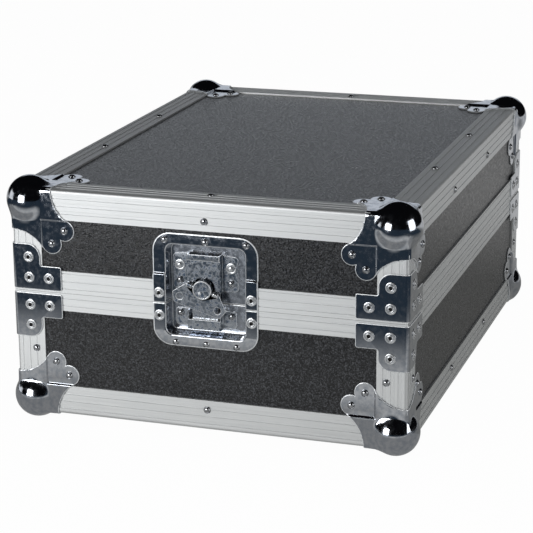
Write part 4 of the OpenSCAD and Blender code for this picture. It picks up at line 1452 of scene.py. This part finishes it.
@dataclass
class Latch:
    """The working parts of a butterfly latch: guide, strike, hook, spindle and wing."""

    shift: float = -3.5
    spindle_up: float = 15.5
    tilt: float = 17.0
    guide: FoldedCover = field(default_factory=lambda: FoldedCover(17.0, 12.0, 49.0, (16.0, 13.0, 47.0)))
    guide_hole: float = 11.8
    guide_bore: Point = (-9.5, 0.0)
    guide_step: float = 43.0
    guide_ramp: float = 0.7
    guide_rise: float = 0.6
    strike: FoldedCover = field(default_factory=lambda: FoldedCover(17.0, -26.0, -7.0, (14.0, -24.0, -7.0)))
    strike_lip: float = -16.0
    hook_half: float = 15.5
    hook_back: float = -11.0
    hook_thick: float = 2.0
    hook_top: float = 28.5
    hook_edge: float = 0.3
    shoulder: float = -4.0
    nose_half: float = 13.0
    nose_low: float = -18.2
    nose_lip: tuple[float, float] = (2.5, 1.6)
    window: tuple[float, float, float] = (9.5, 11.495, 25.505)
    hub: Profile = ((9.5, -4.6), (9.5, -1.9), (9.3, -1.55), (9.3, -1.2), (9.5, -0.95), (9.5, -0.2),
                    (9.4, 0.25), (9.1, 0.6), (8.65, 0.7), (8.3, 0.5), (8.25, 0.0), (8.1, -0.1),
                    (4.0, -0.1), (1.6, -0.1))
    hub_rim: float = 8.2
    hub_pin: Profile = ((1.7, 0.2), (1.65, 0.9), (1.2, 1.3), (0.5, 1.45))
    hub_pin_place: Point = (-2.2, -3.0)
    shaft: Profile = ((5.0, -15.7), (5.0, -14.5), (2.6, -14.5), (2.6, -11.4), (2.6, -4.0))
    cam: Profile = ((6.0, -11.4), (6.0, -8.6))
    cam_up: float = 3.0
    hinge_level: float = -2.25
    hinge_pin: Profile = ((0.9, -16.2), (1.2, -16.0), (1.2, 16.0), (0.9, 16.2))
    wing: Profile = ((17.1, 1.0), (-17.1, 1.0), (-28.5, -12.56), (-24.0, -22.03), (24.0, -22.03),
                     (28.5, -12.56))
    wing_thick: float = 1.5
    wing_corner: float = 1.6
    wing_edge: float = 0.45
    wing_soft: float = 40.0
    wing_hub: float = 10.2
    wing_hole: float = 3.5
    wing_hole_place: Point = (20.0, -14.54)
    wing_bore: Point = (-6.0, 2.0)
    hub_chords: int = 64
    hole_chords: int = 24
    knuckle: Profile = ((2.2, 11.2), (2.2, 16.0))

    def place(self, back: bool) -> Matrix:
        """The frame of the working parts on one end of the case."""
        return on_end(back) @ Matrix.Translation((self.shift, 0, 0))

    def at_spindle(self, tilted: bool = False) -> Matrix:
        """The frame of the spindle, turned with the wing where it is tilted."""
        turn = Matrix.Rotation(math.radians(-self.tilt), 4, "Z") if tilted else IN_PLACE
        return Matrix.Translation((0, self.spindle_up, 0)) @ turn

    @staticmethod
    def drill(radius: float, place: Point, span: Point, steps: int) -> Bench:
        """Makes a round cutter."""
        cutter = Bench.turned("drill", [(radius, level) for level in span], steps)
        return cutter.reshape(lambda p: p + Vector((*place, 0)))

    def make_guide(self) -> Bench:
        """Folds the guide cover, steps its front and cuts the hole for the hub."""
        cover = self.guide.shell("guide", open_ends=(-1, 1))
        cover.slice(1, [self.guide_step, self.guide_step + self.guide_ramp])
        front, raised = self.guide.front - self.guide.hair, self.guide_step + self.guide_ramp / 2
        cover.reshape(lambda p: p + AXES[2] * self.guide_rise if p.z > front and p.y > raised else p)
        # The fold of the raised step gets the bright edge finish, a painted highlight line
        cover.marked(lambda face: face.calc_center_median().z > self.guide.front - self.guide_rise / 3
                     and 0 < face.calc_center_median().y - self.guide_step < self.guide_ramp)
        # Eased before the hole is cut, because a bevel would draw the hole's rim in to the spindle
        cover.walled(self.guide.sheet).eased(self.guide.rim, wear_and_highlight=True)
        return cover.cut(self.drill(self.guide_hole, (0, self.spindle_up), self.guide_bore, self.hub_chords))

    def make_strike(self) -> Bench:
        """Folds the strike, whose front is only a lip."""
        cover = self.strike.shell("strike", open_ends=(1,))
        cover.slice(1, [self.strike_lip])
        limit = Vector((self.strike.half - self.strike.bend - 0.1, self.strike_lip, self.strike.front - 1))

        def opened(face: Face) -> bool:
            """Finds the front between the bends, above the lip.

            Args:
                face: The face.

            Returns:
                Whether it is one of them.
            """
            middle = face.calc_center_median()
            front = face.normal.z > 0.9 and middle.z > limit.z
            return front and middle.y > limit.y and abs(middle.x) < limit.x

        with cover.editing():
            cover.select_faces(opened)
            bpy.ops.mesh.delete(type="FACE")
        return cover.walled(self.strike.sheet).eased(self.strike.rim, wear_and_highlight=True)

    def make_hook(self) -> Bench:
        """Shapes the draw hook, with its nose and the window for the cam."""
        half = [(self.nose_half, self.nose_low), (self.nose_half, self.shoulder),
                (self.hook_half, self.shoulder), (self.hook_half, self.hook_top)]
        hook = Bench.sheet("hook", half + mirrored(half), self.hook_back).raised(self.hook_thick)
        lip_height, lip_rise = self.nose_lip
        hook.slice(1, [self.nose_low + lip_height])
        with hook.editing():
            hook.select_faces(lambda face: face.normal.z > 0.9
                              and face.calc_center_median().y < self.nose_low + lip_height)
            bpy.ops.mesh.extrude_region_move(TRANSFORM_OT_translate={"value": (0, 0, lip_rise)})
        wide, low, high = self.window
        cutter = Bench.block("window", (-wide, low, self.hook_back - 1), (wide, high, self.hook_back + 4))
        return hook.cut(cutter).eased(self.hook_edge, wear_and_highlight=True)

    def make_spindle(self) -> Bench:
        """Turns the hub, its shaft, the cam and the hinge pin, and joins them."""
        hub = Bench.turned("hub", self.hub, 48)
        # The hub's rim bead gets the bright edge finish, a painted highlight
        hub.marked(lambda face: face.calc_center_median().xy.length > self.hub_rim
                   and face.calc_center_median().z > 0)
        parts = []
        for name, profile, steps, place in (
                ("shaft", self.shaft, 24, IN_PLACE),
                ("cam", self.cam, 32, Matrix.Translation((0, self.cam_up, 0))),
                ("pin", self.hub_pin, 16, Matrix.Translation((*self.hub_pin_place, 0))),
                ("hinge", self.hinge_pin, 16, Matrix.Rotation(math.radians(-self.tilt), 4, "Z")
                 @ Matrix.Translation((0, 0, self.hinge_level)) @ Matrix.Rotation(math.pi / 2, 4, "Y"))):
            # The small pin on the hub gets the bright edge finish all over, a painted highlight
            turned = Bench.turned(name, profile, steps).marked(lambda face: name == "pin")
            parts.append(turned.copied(name, place))
            turned.discard()
        return hub.joined(parts)

    def make_wing(self) -> Bench:
        """Shapes the wing: a plate round the hub, with finger holes and two knuckles."""
        plate = Bench.sheet("wing", self.wing)
        with plate.editing():
            bpy.ops.mesh.select_all(action="SELECT")
            bpy.ops.mesh.bevel(offset=self.wing_corner, segments=3, affect="VERTICES")
        plate.raised(self.wing_thick)
        plate.reshape(lambda p: p + AXES[2] * (self.hinge_level - self.wing_thick / 2))
        plate.cut(self.drill(self.wing_hub, (0, 0), self.wing_bore, self.hub_chords))
        x, y = self.wing_hole_place
        for side in (-1, 1):
            plate.cut(self.drill(self.wing_hole, (side * x, y), self.wing_bore, self.hole_chords))
            barrel = Bench.turned("knuckle", self.knuckle, 20)
            barrel.reshape(lambda p: Vector((side * p.z, p.y, self.hinge_level + side * -p.x)))
            plate.cut(barrel, "UNION")
        return plate.eased(self.wing_edge, angle=self.wing_soft, wear_and_highlight=True)

    def build(self, finishes: Finishes) -> None:
        """Builds the working parts at both ends of the case.

        Args:
            finishes: The finishes of the case.
        """
        made = {"guide": (self.make_guide(), IN_PLACE),
                "strike": (self.make_strike(), IN_PLACE),
                "hook": (self.make_hook(), IN_PLACE),
                "spindle": (self.make_spindle(), self.at_spindle()),
                "wing": (self.make_wing(), self.at_spindle(tilted=True))}
        fixed = {"guide": "lid", "strike": "base"}
        for part, (bench, own) in made.items():
            for end, back in ENDS.items():
                piece = bench.copied(f"{end}_latch_{part}", own)
                piece.settled(finishes.zinc, fixed.get(part, f"{end}_{part}"), "zinc_plated_steel",
                              [f"{end}_{part}"], self.place(back), edge=finishes.edge)
            bench.discard()


@dataclass
class FoamLining:
    """Foam pads inside the case, cut from sheet, with soft edges and slightly uneven faces."""

    half_x: float = 189.9
    half_y: float = 259.4
    gap: float = 0.3
    cap_thick: float = 15.0
    wall_thick: float = 10.0
    split_gap: float = 14.0
    pocket_half: float = 43.7
    pocket_low: float = -37.7
    pocket_high: float = 62.2
    pocket_depth: float = 16.5
    pocket_run: float = 20.0
    edge: float = 2.0
    cell: float = 16.0
    unevenness: float = 0.7
    swells_per_mm: float = 0.035
    fill: float = 0.9

    def pad(self, name: str, low: Sequence[float], high: Sequence[float]) -> Bench:
        """Cuts one pad.

        Args:
            name: Name of the piece.
            low: Its lowest corner.
            high: Its highest corner.

        Returns:
            The bench with the pad.
        """
        pad = Bench.block(name, low, high).eased(self.edge, 3)
        for axis in range(3):
            count = int((high[axis] - low[axis]) / self.cell)
            if count > 1:
                pad.slice(axis, spread(low[axis], high[axis], count)[1:-1])
        middle = (Vector(low) + Vector(high)) / 2

        def sag(point: Vector) -> Vector:
            """Draws the surface in a little, here more and there less.

            Args:
                point: Where a vertex is.

            Returns:
                Where it is once the pad has sagged.
            """
            depth = self.unevenness * (0.5 + 0.5 * noise.noise(point * self.swells_per_mm))
            away = point - middle
            spans = [abs(away[i]) / max(high[i] - low[i], 1) * 2 for i in range(3)]
            axis = max(range(3), key=lambda i: spans[i])
            return point - AXES[axis] * math.copysign(depth, away[axis])

        return pad.reshape(sag)

    def walls(self, name: str, low: float, high: float, pocket: tuple[float, float]) -> Bench:
        """Cuts the four wall pads of one half.

        Args:
            name: Name of the piece.
            low: Their lower edge, from the split.
            high: Their upper edge.
            pocket: Lower and upper side of the pocket for the latch.

        Returns:
            The bench with the four pads joined.
        """
        low, high = CASE.split + low, CASE.split + high
        inner_y, inner_x = self.half_y - self.wall_thick, self.half_x - self.wall_thick
        long_y = inner_y - self.gap
        pads = []
        for side in (-1, 1):
            ends = sorted((side * inner_y, side * self.half_y))
            pad = self.pad(name, (-self.half_x, ends[0], low), (self.half_x, ends[1], high))
            back = sorted((side * (CASE.depth / 2 - self.pocket_depth), side * (self.half_y + 5)))
            cutter = Bench.block("pocket", (-self.pocket_half, back[0], CASE.split + pocket[0]),
                                 (self.pocket_half, back[1], CASE.split + pocket[1]))
            pads.append(pad.cut(cutter))
            sides = sorted((side * inner_x, side * self.half_x))
            pads.append(self.pad(name, (sides[0], -long_y, low), (sides[1], long_y, high)))
        return pads[0].joined(pads[1:])

    def build(self, finishes: Finishes) -> None:
        """Builds the floor, lid and wall pads.

        Args:
            finishes: The finishes of the case.
        """
        floor = CASE.foot + CASE.inner + self.gap
        ceiling = CASE.top - CASE.inner - self.gap
        x, y = self.half_x, self.half_y
        pads = [
            (self.pad("base_floor_foam", (-x, -y, floor), (x, y, floor + self.cap_thick)),
             "base", "base_floor_pad"),
            (self.pad("lid_top_foam", (-x, -y, ceiling - self.cap_thick), (x, y, ceiling)),
             "lid", "lid_top_pad"),
            (self.walls("base_wall_foam", floor + self.cap_thick + self.gap - CASE.split, -self.split_gap,
                        (self.pocket_low, self.pocket_run)), "base", "base_wall_pads"),
            (self.walls("lid_wall_foam", self.split_gap, ceiling - self.cap_thick - self.gap - CASE.split,
                        (-self.pocket_run, self.pocket_high)), "lid", "lid_wall_pads")]
        for bench, half, node in pads:
            bench.settled(finishes.foam, half, "charcoal_foam", [node])


def see_in_mirrors(bench: Bench, material: Material) -> None:
    """Makes a stage piece that only reflections show.

    Args:
        bench: The bench with the piece.
        material: Its glow.
    """
    piece = bench.piece
    piece.data.materials.append(material)
    piece.visible_camera = piece.visible_diffuse = piece.visible_shadow = False
    piece.visible_transmission = piece.visible_volume_scatter = False


@dataclass(frozen=True)
class Glow:
    """A glow for a piece that is only mirrored, with a patch of another shade.

    Each band is one side of the patch: an axis, and where the patch starts and is full, in metres.
    """

    title: str
    shade: str
    patch: str
    bands: tuple[tuple[str, float, float], ...]

    def material(self) -> Material:
        """Makes the material."""
        made = bpy.data.materials.new(self.title)
        tree = bare_tree(made)
        place = add_node(tree, "ShaderNodeTexCoord").outputs["Object"]
        apart = add_node(tree, "ShaderNodeSeparateXYZ", {"Vector": place})
        share = None
        for axis, start, full in self.bands:
            side = add_node(tree, "ShaderNodeMapRange", {"Value": apart.outputs[axis], "From Min": start,
                                                         "From Max": full}, interpolation_type="SMOOTHSTEP")
            share = side if share is None else add_node(tree, "ShaderNodeMath", {0: share, 1: side},
                                                        operation="MULTIPLY")
        shade = add_node(tree, "ShaderNodeMix", {"Factor": share, "A": self.shade, "B": self.patch},
                         data_type="RGBA")
        add_node(tree, "ShaderNodeOutputMaterial", {
            "Surface": add_node(tree, "ShaderNodeEmission", {"Color": shade})})
        made.cycles.emission_sampling = "NONE"
        return made


@dataclass(frozen=True)
class Card:
    """A flat card over the floor that only mirrors see; its corners and level are in metres."""

    name: str
    low: Point
    high: Point
    level: float
    glow: Glow

    def lay(self) -> None:
        """Lays the card."""
        sheet = Bench.sheet(self.name, rectangle(self.low, self.high), self.level)
        see_in_mirrors(sheet, self.glow.material())


@dataclass(frozen=True)
class Softbox:
    """A rectangular softbox, in metres and watts."""

    name: str
    place: Place
    aim: Place
    size: Point
    power: float
    mirrored: bool = True

    def hang(self) -> None:
        """Hangs the softbox so that it faces its aim."""
        data = bpy.data.lights.new(self.name, "AREA")
        data.shape = "RECTANGLE"
        data.size, data.size_y = self.size
        data.energy = self.power
        lamp = bpy.data.objects.new(self.name, data)
        bpy.context.collection.objects.link(lamp)
        turn = (Vector(self.place) - Vector(self.aim)).to_track_quat("Z", "Y").to_matrix().to_4x4()
        lamp.matrix_world = Matrix.Translation(self.place) @ turn
        lamp.visible_camera = False
        lamp.visible_glossy = self.mirrored


@dataclass
class Studio:
    """The camera, the pale floor, the softboxes, and what the chrome mirrors: a tent, cards and a wall."""

    camera_place: Place = (0.5983, -1.9112, 0.6878)
    yaw: float = 18.093
    pitch: float = 16.381
    roll: float = 0.4347
    focal_pixels: float = 1918.98
    sensor: float = 36.0
    ambient: float = 0.25
    floor_side: float = 40.0
    floor_white: float = 0.975
    tent_radius: float = 6.0
    tent_cloth: Glow = Glow("dark cloth", "#0b0b0d", "#ced3da", (
        ("Y", 2.7, 3.9), ("X", 1.8, 0.3), ("X", -3.72, -3.0), ("Z", 0.54, 0.78), ("Z", 2.28, 2.1)))
    cards: tuple[Card, ...] = (
        Card("navy floor cloth", (-6, -6), (6, 6), 0.0002, Glow(
            "navy floor", "#2c3742", "#80807e", (("X", -0.95, -0.55), ("X", 0.75, 0.45), ("Y", -0.9, -0.5)))),
        Card("grey sheet in front", (-0.8, -1.0), (0.6, -0.2), 0.0004, Glow(
            "grey paper", "#2c3742", "#c0c0be", (("X", -0.8, -0.55), ("X", 0.6, 0.4), ("Y", -0.68, -0.43)))),
        Card("shade at the case's foot", (-0.8, -0.42), (0.6, -0.2), 0.0005, Glow(
            "shaded paper", "#b8b8b6", "#929291", (("Y", -0.41, -0.37),))),
        Card("white sheet behind", (-6, 0.25), (6, 6), 0.0006, Glow(
            "white paper", "#80807e", "#c2c2c2", (("Y", 0.3, 0.75),))))
    wall_low: Place = (-3.1, -1.3, 0.01)
    wall_high: Place = (-3.0, 0.35, 1.3)
    wall_paper: Glow = Glow("wall paper", "#0b0b0d", "#ffffff", (("Y", 0.35, 0.1), ("Z", 1.3, 0.9)))
    softboxes: tuple[Softbox, ...] = (
        Softbox("left softbox", (-0.85, -1.86, 0.4), (0, -0.25, 0.12), (0.88, 0.96), 20),
        Softbox("right softbox", (1.75, -0.5, 0.35), (0.1, 0, 0.12), (1.0, 1.5), 12),
        Softbox("top fill", (0, 0.1, 3.0), (0, 0.1, 0), (2.0, 2.0), 18, mirrored=False))

    def camera(self) -> None:
        """Sets the camera at the photograph's place and angle."""
        yaw, pitch, roll = (math.radians(a) for a in (self.yaw, self.pitch, self.roll))
        ahead = Vector((-math.sin(yaw) * math.cos(pitch), math.cos(yaw) * math.cos(pitch), -math.sin(pitch)))
        level = Vector((math.cos(yaw), math.sin(yaw), 0))
        below = ahead.cross(level)
        right = level * math.cos(roll) + below * math.sin(roll)
        down = below * math.cos(roll) - level * math.sin(roll)
        data = bpy.data.cameras.new("camera")
        data.sensor_width = self.sensor
        data.lens = self.focal_pixels * self.sensor / IMAGE_SIDE
        data.clip_end = 100
        view = bpy.data.objects.new("camera", data)
        bpy.context.collection.objects.link(view)
        turn = Matrix((right, -down, -ahead)).transposed().to_4x4()
        view.matrix_world = Matrix.Translation(self.camera_place) @ turn
        bpy.context.scene.camera = view

    def tent(self) -> None:
        """Hangs a dark tent round the case, with a pale panel low in its back."""
        bpy.ops.object.select_all(action="DESELECT")
        bpy.ops.mesh.primitive_uv_sphere_add(segments=72, ring_count=36, radius=self.tent_radius)
        see_in_mirrors(Bench("dark tent"), self.tent_cloth.material())

    def floor(self) -> None:
        """Lays the pale floor, which keeps a faint shadow."""
        side = self.floor_side / 2
        floor = Bench.sheet("floor", rectangle((-side, -side), (side, side))).piece
        made = bpy.data.materials.new("white floor")
        tree = bare_tree(made)
        paper = add_node(tree, "ShaderNodeBsdfDiffuse", {"Color": "#f0f0f0"})
        white = add_node(tree, "ShaderNodeEmission", {"Strength": 1.0})
        share = add_node(tree, "ShaderNodeMath", {0: self.seen(tree), 1: self.floor_white},
                         operation="MULTIPLY")
        mix = add_node(tree, "ShaderNodeMixShader", {0: share, 1: paper, 2: white})
        add_node(tree, "ShaderNodeOutputMaterial", {"Surface": mix})
        floor.data.materials.append(made)
        made.cycles.emission_sampling = "NONE"

    def seen(self, tree: Tree) -> Node:
        """Whether a ray comes from the camera, a mirror or glass.

        Args:
            tree: The nodes to add to.

        Returns:
            The node with 1 for such a ray, else 0.
        """
        path = add_node(tree, "ShaderNodeLightPath")
        seen = path.outputs["Is Camera Ray"]
        for name in ("Is Glossy Ray", "Is Transmission Ray"):
            seen = add_node(tree, "ShaderNodeMath", {0: seen, 1: path.outputs[name]}, operation="MAXIMUM")
        return seen

    def world(self) -> None:
        """Makes the backdrop white, with a little soft light all round."""
        world = bpy.context.scene.world or bpy.data.worlds.new("studio")
        bpy.context.scene.world = world
        tree = bare_tree(world)
        strength = add_node(tree, "ShaderNodeMapRange", {"Value": self.seen(tree), "To Min": self.ambient,
                                                         "To Max": 1.0})
        sky = add_node(tree, "ShaderNodeBackground", {"Color": (1, 1, 1, 1), "Strength": strength})
        add_node(tree, "ShaderNodeOutputWorld", {"Surface": sky})

    def build(self) -> None:
        """Sets up the whole studio."""
        bpy.context.scene.view_settings.view_transform = "Standard"
        self.camera()
        self.world()
        self.floor()
        self.tent()
        for card in self.cards:
            card.lay()
        wall = Bench.block("white wall far left", self.wall_low, self.wall_high)
        see_in_mirrors(wall, self.wall_paper.material())
        for softbox in self.softboxes:
            softbox.hang()


def main() -> None:
    """Builds the studio and every sub-assembly, in order."""
    logging.basicConfig(level=logging.INFO, format="%(message)s")
    Studio().build()
    finishes = Finishes()
    Panels().dress(finishes)
    Extrusions().dress(finishes)
    for assembly in (CornerCaps(), CornerBraces(), Rivets(), LatchDish(), Latch(), FoamLining()):
        assembly.build(finishes)
        log.info("%s built", type(assembly).__name__)


if __name__ == "__main__":
    main()
